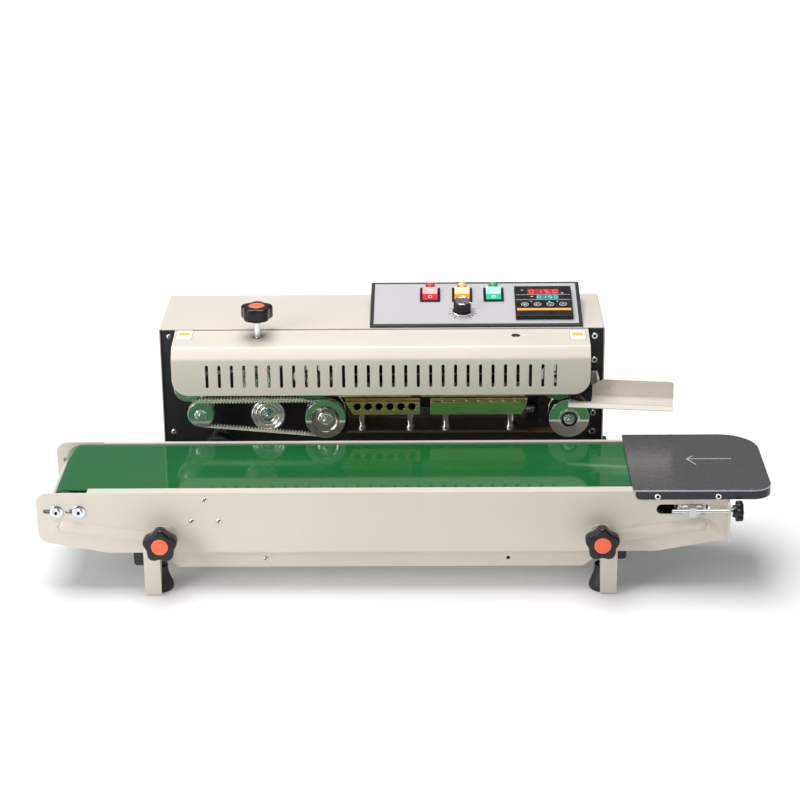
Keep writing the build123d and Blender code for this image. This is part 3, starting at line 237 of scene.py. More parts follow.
def brushedSheet(name, colour, roughness, along=(1, 60, 60), metallic=1.0, depth=0.25, paintedShadeBelow=None):
    finish = Finish(name, colour, roughness, metallic)
    hair = finish.noise(28.0, along, 3.0)
    patch = finish.noise(6.0, detail=3.0)
    streak = finish.math("MULTIPLY", hair, finish.ranged(patch, 0.95, 1.05))
    finish.set("Roughness", finish.ranged(streak, roughness - 0.05, roughness + 0.07))
    base = finish.blended(finish.ranged(hair, 0, 1), shade(colour, 0.92), shade(colour, 1.05))
    if paintedShadeBelow:  # painted shade: below this height the folded-down lip is darkened to stand in for the dark surroundings it reflects
        height = finish.node("ShaderNodeSeparateXYZ", {"Vector": finish.place}).outputs["Z"]
        paintedLipMask = finish.math("LESS_THAN", height, paintedShadeBelow * metresPerMm)
        base = finish.blended(paintedLipMask, base, paintedLipShade, "MULTIPLY")
    finish.set("Base Color", base)
    finish.bump(hair, depth, 0.00006)
    return finish.material


def platedSteel(name, colour=(0.74, 0.75, 0.77), roughness=0.16):
    finish = Finish(name, colour, roughness, 1.0)
    wear = finish.noise(160.0, detail=4.0)
    finish.set("Roughness", finish.ranged(wear, roughness - 0.05, roughness + 0.12))
    finish.mottle(wear, colour, 0.9, 1.05)
    finish.bump(finish.noise(900.0), 0.12, 0.00005)
    return finish.material


def turnedSteel(name, centre, colour=(0.80, 0.81, 0.80), roughness=0.09):
    finish = Finish(name, colour, roughness, 1.0)
    flat = finish.mapped((1, 0, 1), centre=(-centre[0] * metresPerMm, 0, -centre[2] * metresPerMm))
    reach = finish.node("ShaderNodeVectorMath", {0: flat}, operation="LENGTH").outputs["Value"]
    rings = finish.node("ShaderNodeTexNoise", {"W": reach, "Scale": 5200.0, "Detail": 3.0},
                        noise_dimensions="1D").outputs["Fac"]
    finish.set("Roughness", finish.ranged(rings, roughness - 0.03, roughness + 0.1))
    finish.mottle(rings, colour, 0.9, 1.04)
    finish.bump(rings, 0.1, 0.00004)
    return finish.material


def machinedBrass(name, colour=(0.72, 0.54, 0.27), roughness=0.24):
    finish = Finish(name, colour, roughness, 1.0)
    mill = finish.noise(34.0, (1, 14, 50), 3.0)
    tarnish = finish.noise(38.0, detail=5.0)
    finish.mottle(tarnish, colour, 1.06, 0.8, 0.35, 0.75)
    finish.set("Roughness", finish.ranged(mill, roughness - 0.08, roughness + 0.12))
    finish.bump(mill, 0.18, 0.00006)
    return finish.material


def glossyBelt(name, colour=(0.013, 0.125, 0.034)):
    finish = Finish(name, colour, 0.2)
    cloud = finish.noise(5.0, (1, 3, 1), 3.0)
    finish.mottle(cloud, colour, 0.93, 1.08)
    rub = finish.noise(60.0, (1, 9, 1), 4.0)
    finish.set("Roughness", finish.ranged(rub, 0.05, 0.12))
    finish.bump(finish.noise(240.0, (1, 2, 1), 3.0), 0.03, 0.0001)
    finish.set("Coat Weight", 0.35)
    finish.set("Coat Roughness", 0.02)
    finish.set("IOR", 1.45)
    return finish.material


def mouldedPlastic(name, colour, roughness=0.3, grain=0.25, coat=0.0, specular=0.5):
    finish = Finish(name, colour, roughness)
    texture = finish.noise(1400.0, detail=2.0)
    finish.set("Roughness", finish.ranged(finish.noise(70.0, detail=4.0), roughness - 0.05, roughness + 0.1))
    finish.mottle(texture, colour, 0.9, 1.12)
    finish.bump(texture, grain, 0.00005)
    finish.set("Coat Weight", coat)
    finish.set("Coat Roughness", 0.08)
    finish.set("Specular IOR Level", specular)
    return finish.material


def panelFilm(name, colour=(0.46, 0.435, 0.455)):
    finish = Finish(name, colour, 0.46)
    leather = finish.node("ShaderNodeTexVoronoi", {"Vector": finish.place, "Scale": 900.0}).outputs["Distance"]
    finish.mottle(leather, colour, 0.95, 1.04, 0.1, 0.7)
    finish.set("Roughness", finish.ranged(finish.noise(30.0, detail=3.0), 0.4, 0.52))
    finish.bump(leather, 0.22, 0.0001)
    return finish.material


def mattRubber(name, colour=(0.018, 0.018, 0.019), roughness=0.62):
    finish = Finish(name, colour, roughness)
    dust = finish.noise(55.0, detail=5.0)
    finish.mottle(dust, colour, 1.0, 2.2, 0.5, 0.8)
    finish.set("Roughness", finish.ranged(dust, roughness - 0.06, roughness + 0.14))
    finish.bump(finish.noise(700.0, detail=3.0), 0.3, 0.0001)
    return finish.material


def wovenBand(name, colour=(0.20, 0.105, 0.060)):
    finish = Finish(name, colour, 0.32)
    warp = finish.node("ShaderNodeTexWave", {"Vector": finish.place, "Scale": 420.0}, bands_direction="X")
    weft = finish.node("ShaderNodeTexWave", {"Vector": finish.place, "Scale": 420.0}, bands_direction="Y")
    weave = finish.math("MULTIPLY", warp.outputs["Fac"], weft.outputs["Fac"])
    finish.set("Base Color", finish.blended(weave, shade(colour, 0.75), shade(colour, 1.25)))
    finish.set("Roughness", finish.ranged(finish.noise(40.0, detail=4.0), 0.26, 0.42))
    finish.bump(weave, 0.3, 0.0001)
    return finish.material


def creamUrethane(name, colour=(0.86, 0.88, 0.68)):
    finish = Finish(name, colour, 0.3)
    cloud = finish.noise(120.0, detail=3.0)
    finish.mottle(cloud, colour, 0.9, 1.1)
    finish.set("Roughness", finish.ranged(cloud, 0.24, 0.4))
    finish.set("Transmission Weight", 0.25)
    finish.set("IOR", 1.48)
    finish.set("Subsurface Weight", 0.25)
    finish.set("Subsurface Scale", 0.002)
    finish.bump(finish.noise(600.0), 0.1, 0.0001)
    return finish.material


def litLens(name, colour, glow):
    finish = Finish(name, colour, 0.16)
    cloud = finish.noise(240.0, detail=2.0)
    finish.mottle(cloud, colour, 0.93, 1.05)
    finish.set("Roughness", finish.ranged(cloud, 0.12, 0.24))
    finish.set("Subsurface Weight", 0.2)
    finish.set("Subsurface Scale", 0.002)
    finish.set("Emission Color", (*colour, 1))
    finish.set("Emission Strength", glow)
    finish.bump(finish.noise(1200.0), 0.08, 0.00005)
    return finish.material


def printedInk(name, colour, roughness=0.4, glow=0.0):
    finish = Finish(name, colour, roughness)
    speck = finish.noise(800.0, detail=3.0)
    finish.mottle(speck, colour, 0.94, 1.04)
    finish.set("Roughness", finish.ranged(speck, roughness - 0.05, roughness + 0.08))
    if glow:
        finish.set("Emission Color", (*colour, 1))
        finish.set("Emission Strength", glow)
    return finish.material


def circuitBoard(name):
    green, copper = (0.012, 0.10, 0.035), (0.05, 0.26, 0.10)
    finish = Finish(name, green, 0.3)
    black, white = (0, 0, 0, 1), (1, 1, 1, 1)
    tracks = {"Vector": finish.place, "Scale": 160.0, "Mortar Size": 0.03}
    brick = finish.node("ShaderNodeTexBrick", {**tracks, "Color1": black, "Color2": black, "Mortar": white})
    finish.set("Base Color", finish.blended(brick.outputs["Color"], green, copper))
    finish.bump(brick.outputs["Fac"], 0.2, 0.0001)
    return finish.material


finishMakers = {  # finish: (maker, its colour and settings)
    "beigePaint": (powderCoat, (0.655, 0.598, 0.532)),
    "blackPaint": (powderCoat, (0.009, 0.009, 0.011), 0.42, 0.5),
    "blackPlate": (powderCoat, (0.006, 0.006, 0.007), 0.42, 0.4),
    "shelfSteel": (brushedSheet, (0.24, 0.225, 0.22), 0.34, (1, 20, 60)),
    "greenBelt": (glossyBelt,),
    # the last number is the height below which the feed plate's lip gets painted shade
    "stainless": (brushedSheet, (0.40, 0.388, 0.40), 0.24, (4, 130, 130), 1.0, 0.05, 126.9),
    "zinc": (platedSteel,),
    "chrome": (platedSteel, (0.86, 0.87, 0.88), 0.07),
    "machinedSteel": (platedSteel, (0.62, 0.62, 0.63), 0.24),
    "darkSteel": (platedSteel, (0.20, 0.20, 0.21), 0.32),
    "brass": (machinedBrass,),
    "hotBrass": (machinedBrass, (0.78, 0.68, 0.36), 0.10),
    # painted shade: the wheels' dish is a darker, brown-tinted steel than the rest of the face
    "dishSteel": (platedSteel, (0.40, 0.36, 0.33), 0.16),
    "bluishSteel": (platedSteel, (0.55, 0.66, 0.70), 0.12),
    "blackPlastic": (mouldedPlastic, (0.007, 0.007, 0.009), 0.26, 0.10, 0.0, 0.4),
    "darkPlastic": (mouldedPlastic, (0.012, 0.012, 0.014), 0.42, 0.3, 0.0, 0.35),
    "orangeCap": (mouldedPlastic, (0.98, 0.155, 0.055), 0.42, 0.2),
    "panelFilm": (panelFilm,),
    "blackRubber": (mattRubber,),
    "footRubber": (mattRubber, (0.014, 0.014, 0.015), 0.5),
    "brownBand": (wovenBand,),
    "creamBelt": (creamUrethane,),
    "redLens": (litLens, (0.78, 0.02, 0.03), 0.15),
    "redLensPale": (litLens, (0.86, 0.20, 0.23), 0.2),
    "amberLens": (litLens, (0.95, 0.26, 0.02), 0.3),
    "amberLensPale": (litLens, (0.96, 0.48, 0.24), 0.3),
    "greenLens": (litLens, (0.03, 0.50, 0.29), 0.15),
    "greenLensPale": (litLens, (0.25, 0.74, 0.58), 0.2),
    "redLamp": (litLens, (0.75, 0.03, 0.035), 0.1),
    "yellowLamp": (litLens, (0.90, 0.58, 0.05), 0.1),
    "greenLamp": (litLens, (0.02, 0.35, 0.12), 0.1),
    "whiteInk": (printedInk, (0.85, 0.85, 0.85)),
    "paleInk": (printedInk, (0.66, 0.66, 0.68)),
    "greyInk": (printedInk, (0.16, 0.16, 0.18)),
    "blackInk": (printedInk, (0.02, 0.02, 0.022)),
    "amberInk": (printedInk, (0.95, 0.50, 0.06)),
    "orangeInk": (printedInk, (0.95, 0.42, 0.05)),
    "redField": (printedInk, (0.34, 0.02, 0.025), 0.2, 0.35),
    "redDigit": (printedInk, (1.0, 0.10, 0.09), 0.2, 0.9),
    "tealField": (printedInk, (0.02, 0.19, 0.21), 0.2, 0.35),
    "tealDigit": (printedInk, (0.10, 0.72, 0.74), 0.2, 0.8),
    "boardGreen": (circuitBoard,),
    # painted shade: near-black laid in screw slots and socket bottoms where shade falls
    "recess": (mouldedPlastic, (0.004, 0.004, 0.004), 0.5, 0.1, 0.0, 0.2),
    "springSteel": (platedSteel, (0.5, 0.5, 0.52), 0.28),
    "motorCast": (powderCoat, (0.30, 0.31, 0.33), 0.45, 0.6),
}
finishes = {name: make(name, *settings) for name, (make, *settings) in finishMakers.items()}
print("finishes:", len(finishes))


# shaping tools; every mesh is drawn in millimetres and scaled when it becomes a piece

sheetAngle = 34  # degrees; sharper folds than this get an edge

def makePiece(name, bm, body, materials, replaces=(), bevelWidth=0.0, smoothAngle=38):
    bmesh.ops.scale(bm, vec=(metresPerMm,) * 3, verts=bm.verts)
    mesh = bpy.data.meshes.new(name)
    bm.to_mesh(mesh)
    bm.free()
    for material in materials:
        mesh.materials.append(finishes[material] if isinstance(material, str) else material)
    mesh.shade_smooth()
    mesh.set_sharp_from_angle(angle=math.radians(smoothAngle))
    piece = bpy.data.objects.new(name, mesh)
    bpy.context.scene.collection.objects.link(piece)
    if bevelWidth:
        edge = piece.modifiers.new("edge", "BEVEL")
        edge.width = bevelWidth * metresPerMm
        edge.segments = 2
        edge.limit_method = "ANGLE"
        edge.angle_limit = math.radians(smoothAngle)
        edge.use_clamp_overlap = False
        edge.harden_normals = True
    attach(piece, body)
    if replaces:
        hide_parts(*replaces)
    return piece


def mergedCopy(node):  # the node's surface as joined flat faces, in millimetres
    bm = bmesh.new()
    bm.from_mesh(nodes[node].data)
    bmesh.ops.scale(bm, vec=(1 / metresPerMm,) * 3, verts=bm.verts)
    bmesh.ops.remove_doubles(bm, verts=bm.verts, dist=0.002)
    bmesh.ops.dissolve_limit(bm, angle_limit=math.radians(0.4), verts=bm.verts, edges=bm.edges)
    return bm


def nodePiece(name, bm, node, material, replaces=False, bevelWidth=0.0, smoothAngle=38):
    return makePiece(name, bm, bodyOf[node], [material], [node] if replaces else (), bevelWidth,
                     smoothAngle)


def softened(node, name, material, width):
    nodePiece(name, mergedCopy(node), node, material, True, width, sheetAngle)


def along(origin, direction):  # a matrix that stands +Z on the direction, at the origin
    turn = Vector((0, 0, 1)).rotation_difference(Vector(direction).normalized()).to_matrix().to_4x4()
    return Matrix.Translation(origin) @ turn


def newVerts(bm, before):
    return [vert for vert in bm.verts if vert not in before]


def facesOf(verts):
    return list({face for vert in verts for face in vert.link_faces})


def paint(faces, material):
    for face in faces:
        face.material_index = material


def standUp(bm, before, place, material):  # give new geometry its normals and material, then lay it in place
    made = newVerts(bm, before)
    bmesh.ops.recalc_face_normals(bm, faces=facesOf(made))
    paint(facesOf(made), material)
    bmesh.ops.transform(bm, matrix=place, verts=made)


def lathe(bm, profile, place, steps=48, material=0):  # profile is (radius, height) pairs
    before = set(bm.verts)
    line = [bm.verts.new((radius, 0, height)) for radius, height in profile]
    edges = [bm.edges.new(pair) for pair in zip(line, line[1:])]
    bmesh.ops.spin(bm, geom=line + edges, cent=(0, 0, 0), axis=(0, 0, 1), angle=2 * math.pi, steps=steps,
                   use_merge=True)
    bmesh.ops.remove_doubles(bm, verts=newVerts(bm, before), dist=0.0005)
    standUp(bm, before, place, material)


def bar(bm, centre, size, place=Matrix.Identity(4), material=0, turn=0.0):
    spot = Matrix.Translation(centre) @ Matrix.Rotation(turn, 4, "Z") @ Matrix.Diagonal((*size, 1))
    paint(facesOf(bmesh.ops.create_cube(bm, size=1.0, matrix=place @ spot)["verts"]), material)


def hexNut(bm, across, height, place, material=0):
    radius = across / 2 / math.cos(math.radians(30))
    spot = place @ Matrix.Translation((0, 0, height / 2))
    made = bmesh.ops.create_cone(bm, cap_ends=True, segments=6, radius1=radius, radius2=radius * 0.97,
                                 depth=height, matrix=spot)["verts"]
    paint(facesOf(made), material)


threadSpec = {"depth": 0.45, "end": 0.4, "start": 0.4, "plain": 0.6}


def lobedGrip(bm, spec, place, material=0):
    before = set(bm.verts)
    segments = spec["lobes"] * spec["steps"]
    rim = bmesh.ops.create_circle(bm, cap_ends=True, segments=segments, radius=spec["radius"])["verts"]
    for vert in rim:
        angle = math.atan2(vert.co.y, vert.co.x) - math.radians(spec["turn"])
        wave = 0.5 - 0.5 * math.cos(spec["lobes"] * angle)
        vert.co *= 1 - spec["hollow"] / spec["radius"] * wave ** spec["valley"]
    base = rim[0].link_faces[0]
    lifted = bmesh.ops.extrude_face_region(bm, geom=[base])["geom"]
    topVerts = [item for item in lifted if isinstance(item, bmesh.types.BMVert)]
    bmesh.ops.translate(bm, vec=(0, 0, spec["height"]), verts=topVerts)
    rims = [edge for edge in bm.edges if edge.verts[0] not in before
            and abs(edge.verts[0].co.z - edge.verts[1].co.z) < 0.01]
    bmesh.ops.bevel(bm, geom=rims, offset=spec["edge"], offset_type="OFFSET", segments=4, profile=0.5,
                    affect="EDGES", material=-1)
    standUp(bm, before, place, material)


def threaded(radius, pitch, low, high):  # profile of a threaded rod
    profile = [(0, low), (radius - threadSpec["end"], low)]
    for i in range(int((high - low - threadSpec["plain"]) / pitch)):
        height = low + threadSpec["start"] + i * pitch
        profile += [(radius - threadSpec["depth"], height), (radius, height + pitch * 0.5)]
    return profile + [(radius - threadSpec["end"], high), (0, high)]


def coil(bm, spec, place):  # a round wire spring that stands on the place's +Z
    before = set(bm.verts)
    ring = bmesh.ops.create_circle(bm, cap_ends=True, segments=10, radius=spec["wire"])["verts"]
    stand = Matrix.Translation((spec["radius"], 0, spec["wire"])) @ Matrix.Rotation(math.radians(90), 4, "X")
    bmesh.ops.transform(bm, matrix=stand, verts=ring)
    face = ring[0].link_faces[0]
    rise = (spec["height"] - 2 * spec["wire"]) / (spec["turns"] * spec["steps"])
    bmesh.ops.spin(bm, geom=[face], cent=(0, 0, 0), axis=(0, 0, 1), dvec=(0, 0, rise),
                   angle=2 * math.pi * spec["turns"], steps=spec["turns"] * spec["steps"], use_merge=False)
    standUp(bm, before, place, 0)


# painted sheet metal, rubber and hidden parts keep their CAD shape, most with softened edges

softEdges = {  # node: (piece name, finish, edge width in mm)
    "housing_shell": ("housingSheet", "beigePaint", 0.5),
    "rear_cover": ("rearSheet", "beigePaint", 0.3),
    "mounting_plate": ("mountingPlateSteel", "blackPlate", 0.4),
    "guard": ("guardSheet", "beigePaint", 0.35),
    "front_legs": ("frontLegSheets", "beigePaint", 0.0),
    "conveyor_rear_plate": ("rearPlateSheet", "beigePaint", 0.45),
    "belt_bed": ("bedSheets", "beigePaint", 0.3),
    "infeed_guide": ("infeedSheet", "beigePaint", 0.4),
    "support_arms": ("armTubes", "blackPaint", 0.6),
    "console_frame": ("consoleRim", "blackPaint", 0.9),
    "console_plate": ("consoleFace", "panelFilm", 0.2),
    "switch_bezels": ("switchRims", "blackPlastic", 0.35),
    "wheel_slide": ("wheelSlideBlock", "blackPaint", 0.5),
    "pressure_slide": ("pressureSlideBlock", "blackPaint", 0.3),
    "block_holder": ("blockShelf", "shelfSteel", 0.25),
    "upper_blocks": ("upperBlockBrass", "brass", 0.35),
    "lower_heating_block": ("heatingBlockBrass", "hotBrass", 0.35),
    "lower_cooling_block": ("coolingBlockBrass", "brass", 0.35),
    "feed_plate": ("feedSheet", "stainless", 0.3),
    "tail_blocks": ("tailBearingBlocks", "machinedSteel", 0.4),
    "roller_bearings": ("rollerBearingBlocks", "darkSteel", 0.3),
    "fan_housing": ("fanFrame", "darkPlastic", 0.15),
    "power_inlet": ("inletMoulding", "darkPlastic", 0.3),
    "conveyor_drive_shaft": ("driveShaftSteel", "darkSteel", 0.3),
    "rubber_feet": ("footRubbers", "footRubber", 0.6),
}
plainNodes = {
    "conveyor_belt": "greenBelt", "seal_bands": "brownBand", "shaft_bearings": "machinedSteel",
    "drive_motor": "motorCast", "control_board": "boardGreen", "fan_rotor": "darkPlastic",
    "drive_roller": "machinedSteel", "head_roller": "machinedSteel", "tail_roller": "machinedSteel",
}
for node, (pieceName, finishName, edgeWidth) in softEdges.items():
    softened(node, pieceName, finishName, edgeWidth)
for node, finishName in plainNodes.items():
    nodes[node].data.materials.clear()
    nodes[node].data.materials.append(finishes[finishName])

beadSpec = {
    "runs": (((-387.0, 85.2), (-296.0, 71.9)), ((250.0, 72.4), (339.0, 85.8))),  # (x, z) of both ends
    "halfWidth": 7.6, "height": 3.4, "rings": 9, "steps": 28,
    "cadSpans": ((-400, -292), (246, 352)), "cadZ": (64, 94), "cadRise": (2.0, 2.5), "plateEnd": -405,
}


def pressBead(bm, start, end, face):  # a rounded bead that stands out of the plate's front face
    heading = math.atan2(end[1] - start[1], end[0] - start[0])
    previous = None
    for ring in range(beadSpec["rings"]):
        share = 1 - ring / (beadSpec["rings"] - 0.6)
        rise = beadSpec["height"] * math.sin((1 - share) * math.pi / 2) ** 0.9
        loop = []
        for i in range(beadSpec["steps"]):
            angle = heading - math.pi / 2 + 2 * math.pi * (i + 0.5) / beadSpec["steps"]
            middle = end if i < beadSpec["steps"] / 2 else start
            reach = beadSpec["halfWidth"] * share
            loop.append(bm.verts.new((middle[0] + reach * math.cos(angle), face - rise,
                                      middle[1] + reach * math.sin(angle))))
        edges = [bm.edges.new((loop[i - 1], loop[i])) for i in range(len(loop))]
        if previous:
            bmesh.ops.bridge_loops(bm, edges=previous + edges)
        previous = edges
    bmesh.ops.contextual_create(bm, geom=previous)


def makeFrontPlate():
    node = "conveyor_front_plate"
    bm = mergedCopy(node)
    face = min(vert.co.y for vert in bm.verts if vert.co.x < beadSpec["plateEnd"])
    lowest, highest = beadSpec["cadZ"]
    least, most = beadSpec["cadRise"]
    for vert in bm.verts:  # the drafted CAD beads lie back into the sheet, under the rounded ones
        overBead = any(start < vert.co.x < end for start, end in beadSpec["cadSpans"])
        if overBead and lowest < vert.co.z < highest and least < face - vert.co.y < most:
            vert.co.y = face
    nodePiece("frontPlateSheet", bm, node, "beigePaint", True, 0.3, sheetAngle)
    bm = bmesh.new()
    for start, end in beadSpec["runs"]:
        pressBead(bm, start, end, face)
    bmesh.ops.recalc_face_normals(bm, faces=bm.faces)
    nodePiece("frontPlateBeads", bm, node, "beigePaint", False, 0, 60)


makeFrontPlate()
print("sheet metal:", len(softEdges) + 1, "softened,", len(plainNodes), "as they are")


# screws: each one's place and size come from its CAD solid

def solidBoxes(node):  # lowest and highest corner of every separate solid in a node
    bm = mergedCopy(node)
    left, boxes = set(bm.verts), []
    while left:
        waiting, group = [left.pop()], []
        while waiting:
            vert = waiting.pop()
            group.append(vert.co.copy())
            near = {edge.other_vert(vert) for edge in vert.link_edges} & left
            left -= near
            waiting += near
        boxes.append([Vector(edge(point[i] for point in group) for i in range(3)) for edge in (min, max)])
    bm.free()
    return boxes


screwSpec = {"slotWidth": 0.24, "recessShare": 0.5, "tallShare": 0.55, "washer": 1.3}
headRise = {"small": 2.6, "large": 4.2, "bolt": 5.0}  # how far a head stands out of its plate


def addScrew(bm, place, radius, kind):  # +Z of the place points out of the surface; material 1 is painted shade, a near-black finish for the shade in slots and sockets
    tall = radius * screwSpec["tallShare"]
    if kind == "bolt":
        lathe(bm, [(0, 0), (radius, 0), (radius, 1.0), (radius - 0.4, screwSpec["washer"]),
                   (0, screwSpec["washer"])], place, 40)
        seat = place @ Matrix.Translation((0, 0, screwSpec["washer"]))
        lathe(bm, [(0, 0), (4.4, 0), (4.4, 3.2), (3.9, 3.8), (2.2, 3.8), (2.2, 1.6), (0, 1.6)], seat, 36)
        lathe(bm, [(0, 1.62), (2.1, 1.62), (0, 1.7)], seat, 6, 1)
    elif kind == "socket":
        inner = radius * screwSpec["recessShare"]
        lathe(bm, [(inner, tall * 0.3), (inner, tall), (radius * 0.85, tall), (radius, tall * 0.75),
                   (radius, 0), (0, 0)], place, 36)
        lathe(bm, [(0, tall * 0.32), (inner * 1.02, tall * 0.3), (0, tall * 0.28)], place, 6, 1)
    else:
        lathe(bm, [(0, tall), (radius * 0.5, tall * 0.94), (radius * 0.8, tall * 0.7), (radius, tall * 0.22),
                   (radius, 0), (0, 0)], place, 36)
        for turn in (25, 115):
            bar(bm, (0, 0, tall * 0.93), (radius * 1.1, radius * screwSpec["slotWidth"], tall * 0.16), place, 1,
                math.radians(turn))


def makeScrews(node, pieceName, facesFront, kindOf):
    bm = bmesh.new()
    for low, high in solidBoxes(node):
        outward = -1 if facesFront(low, high) else 1
        radius = (high.x - low.x) / 2
        kind = kindOf((low.x + high.x) / 2, radius)
        rise = headRise["bolt"] if kind == "bolt" else headRise["large"] if radius > 5 else headRise["small"]
        face = (low.y + rise) if outward < 0 else (high.y - rise)
        middle = Vector(((low.x + high.x) / 2, face, (low.z + high.z) / 2))
        seat, core = along(middle, (0, outward, 0)), radius * 0.5
        addScrew(bm, seat, radius, kind)
        lathe(bm, [(0, 0.1), (core, 0.1), (core, -4.0), (0, -4.0)], seat, 20)
    makePiece(pieceName, bm, bodyOf[node], ["zinc", "recess"], [node], 0, 40)


makeScrews("housing_screws", "housingScrewHeads", lambda low, high: low.y < 100,
           lambda x, radius: "socket" if x > 0 and radius > 3.7 else "cross")
makeScrews("conveyor_screws", "conveyorScrewHeads", lambda low, high: low.y < -140,
           lambda x, radius: "bolt" if radius > 7.2 else "socket" if 3.5 < radius < 5 else "cross")
print("screws set")


# band wheels, guide wheels and pressure wheels

washerThick = 1.2

def nutStack(axis, depth, sizes):  # washer, hex nut and domed screw end on a wheel's nose
    bm = bmesh.new()
    front = along((axis.x, depth, axis.z), (0, -1, 0))
    washer, across, height, stub = sizes
    lathe(bm, [(0, 0), (washer, 0), (washer, washerThick), (0, washerThick)], front, 36)
    hexNut(bm, across, height, front @ Matrix.Translation((0, 0, washerThick)))
    tip = front @ Matrix.Translation((0, 0, washerThick + height))
    lathe(bm, [(0, 0), (stub, 0), (stub, 0.8), (stub * 0.6, 1.3), (0, 1.4)], tip, 24)
    return bm


def capitalised(node):
    return "".join(word.capitalize() for word in node.split("_"))


wheelSpecs = {  # the steel's grey, lowered on the upper wheels as painted shade for the shadow under the guard, and whether the front face is dished
    "lower_left_wheel": {"joint": "lower_left_spin", "dish": True, "tone": 0.80},
    "upper_left_wheel": {"joint": "upper_left_spin", "dish": True, "tone": 0.36},
    "lower_right_wheel": {"joint": "lower_right_spin", "dish": False, "tone": 0.80},
    "upper_right_wheel": {"joint": "upper_right_spin", "dish": False, "tone": 0.36},
}
# sizes of a nut stack: washer radius, across flats, height and radius of the screw end
bandNuts = {
    True: {"ahead": 1.5, "sizes": (6.4, 8.0, 2.6, 2.4)},
    False: {"ahead": 2.2, "sizes": (6.4, 8.0, 2.2, 2.4)},
}
pressureNut = {"behind": 0.3, "sizes": (6.4, 8.0, 2.4, 2.2)}


def makeBandWheel(node, spec):
    axis = axisMm(spec["joint"])
    # the upper wheels' low grey is painted shade; the lower wheels' grey is the steel's own
    steel = turnedSteel(node + "Steel", axis, (spec["tone"], spec["tone"] * 1.02, spec["tone"]), 0.06)
    name = capitalised(node)
    nodePiece("turned" + name, mergedCopy(node), node, steel, True, 0.3)
    face = boxMm(node)[0].y + 5.0  # plane of the front flange
    front = along((axis.x, face, axis.z), (0, -1, 0))
    bm = bmesh.new()
    if spec["dish"]:
        # the dish itself takes material 2, its painted shade
        lathe(bm, [(17.2, -2.9), (17.2, 0.15), (16.7, 0.15), (15.9, -0.7), (14.9, -1.4), (13.6, -1.95),
                   (12.2, -2.3), (10.8, -2.5), (9.4, -2.6), (9.4, -2.9), (17.2, -2.9)], front, 96, 2)
        lathe(bm, [(8.9, -2.0), (8.9, 1.2), (8.2, 1.6), (6.0, 1.6), (6.0, -2.0)], front, 48, 0)
    else:
        lathe(bm, [(17.4, -2.9), (17.4, 0.05), (9.0, 0.05), (9.0, -2.9)], front, 64, 0)
        lathe(bm, [(12.4, 0), (12.4, 1.4), (11.6, 2.2), (9.6, 2.4), (9.6, 0)], front, 48, 0)
        lathe(bm, [(9.6, 0), (9.6, 2.9), (8.0, 3.2), (7.6, 3.2), (7.6, 0)], front, 48, 1)
    makePiece("faceOf" + name, bm, bodyOf[node], [steel, "blackPlastic", "dishSteel"], (), 0, 30)
    nut = bandNuts[spec["dish"]]
    nodePiece("nutOf" + name, nutStack(axis, face - nut["ahead"], nut["sizes"]), node, "zinc", False, 0.3)


for node, spec in wheelSpecs.items():
    makeBandWheel(node, spec)

guideSpecs = {"lower_guide_wheel": "lower_guide_spin", "upper_guide_wheel": "upper_guide_spin"}


def makeGuideWheel(node, jointName):
    axis = axisMm(jointName)
    name = capitalised(node)
    steel = turnedSteel(node + "Steel", axis, (0.62, 0.70, 0.70), 0.14)
    nodePiece("turned" + name, mergedCopy(node), node, steel, True, 0.3)
    front = along((axis.x, boxMm(node)[0].y + 4, axis.z), (0, -1, 0))
    bm = bmesh.new()
    lathe(bm, [(7.4, 0), (7.4, 0.9), (6.6, 1.2), (0, 1.2)], front, 40, 0)
    lathe(bm, [(0, 1.1), (5.6, 1.1), (5.6, 2.1), (0, 2.1)], front, 36, 0)
    hexNut(bm, 7.2, 2.4, front @ Matrix.Translation((0, 0, 2.0)), 0)
    lathe(bm, [(0, 4.0), (2.2, 4.0), (2.0, 5.0), (0, 5.2)], front, 24, 0)
    nodePiece("nutOf" + name, bm, node, "chrome", False, 0.3)


for node, jointName in guideSpecs.items():
    makeGuideWheel(node, jointName)

pressureWheels = {"lower_pressure_wheel": "lower_pressure_spin", "upper_pressure_wheel": "upper_pressure_spin"}


def rings(radii, swell, steps=6):  # profile of one convex ring of the cheek, from outside inwards
    outer, inner = radii
    turns = [math.pi * step / steps for step in range(steps + 1)]
    return [((outer + inner) / 2 + (outer - inner) / 2 * math.cos(turn), 1.6 - swell * 1.6 * math.sin(turn))
            for turn in turns]


def makePressureWheel(node, jointName):
    axis = axisMm(jointName)
    name = capitalised(node)
    steel = turnedSteel(node + "Steel", axis, (0.85, 0.85, 0.82), 0.12)
    low, high = boxMm(node)
    cheek = low.y + 5.2  # front of the steel cheek
    tail = high.y - cheek
    place = along((axis.x, cheek, axis.z), (0, 1, 0))
    bm = bmesh.new()
    lathe(bm, [(19.6, 3.2), (22.1, 3.2), (22.1, 20.6), (7.0, 20.6), (7.0, 19.8), (6.0, 19.8), (6.0, tail),
               (0, tail), (0, 3.2), (19.6, 3.2)], place, 72)
    nodePiece("rubberOf" + name, bm, node, "blackRubber", True, 0.6)
    bm = bmesh.new()
    lathe(bm, [(0, 3.4), (20.3, 3.4)] + rings((20.4, 16.9), 1.0) + rings((16.2, 12.0), 1.3)
          + rings((11.0, 7.6), 1.1) + [(6.6, 1.6), (0, 1.6)], place, 96)
    nodePiece("cheekOf" + name, bm, node, steel, False, 0, 40)
    nut = nutStack(axis, cheek + pressureNut["behind"], pressureNut["sizes"])
    nodePiece("nutOf" + name, nut, node, "bluishSteel", False, 0.3)


for node, jointName in pressureWheels.items():
    makePressureWheel(node, jointName)
print("wheels turned")


# toothed guide belts

beltSpec = {"radii": (16.35, 23.95), "pitch": 3.8, "back": 1.0, "tooth": 1.9, "toothLength": 2.1,
            "narrowing": 0.3}
guideBeltRuns = {
    "lower": ("lower_guide_spin", "lower_left_spin"),
    "upper": ("upper_guide_spin", "upper_left_spin"),
}


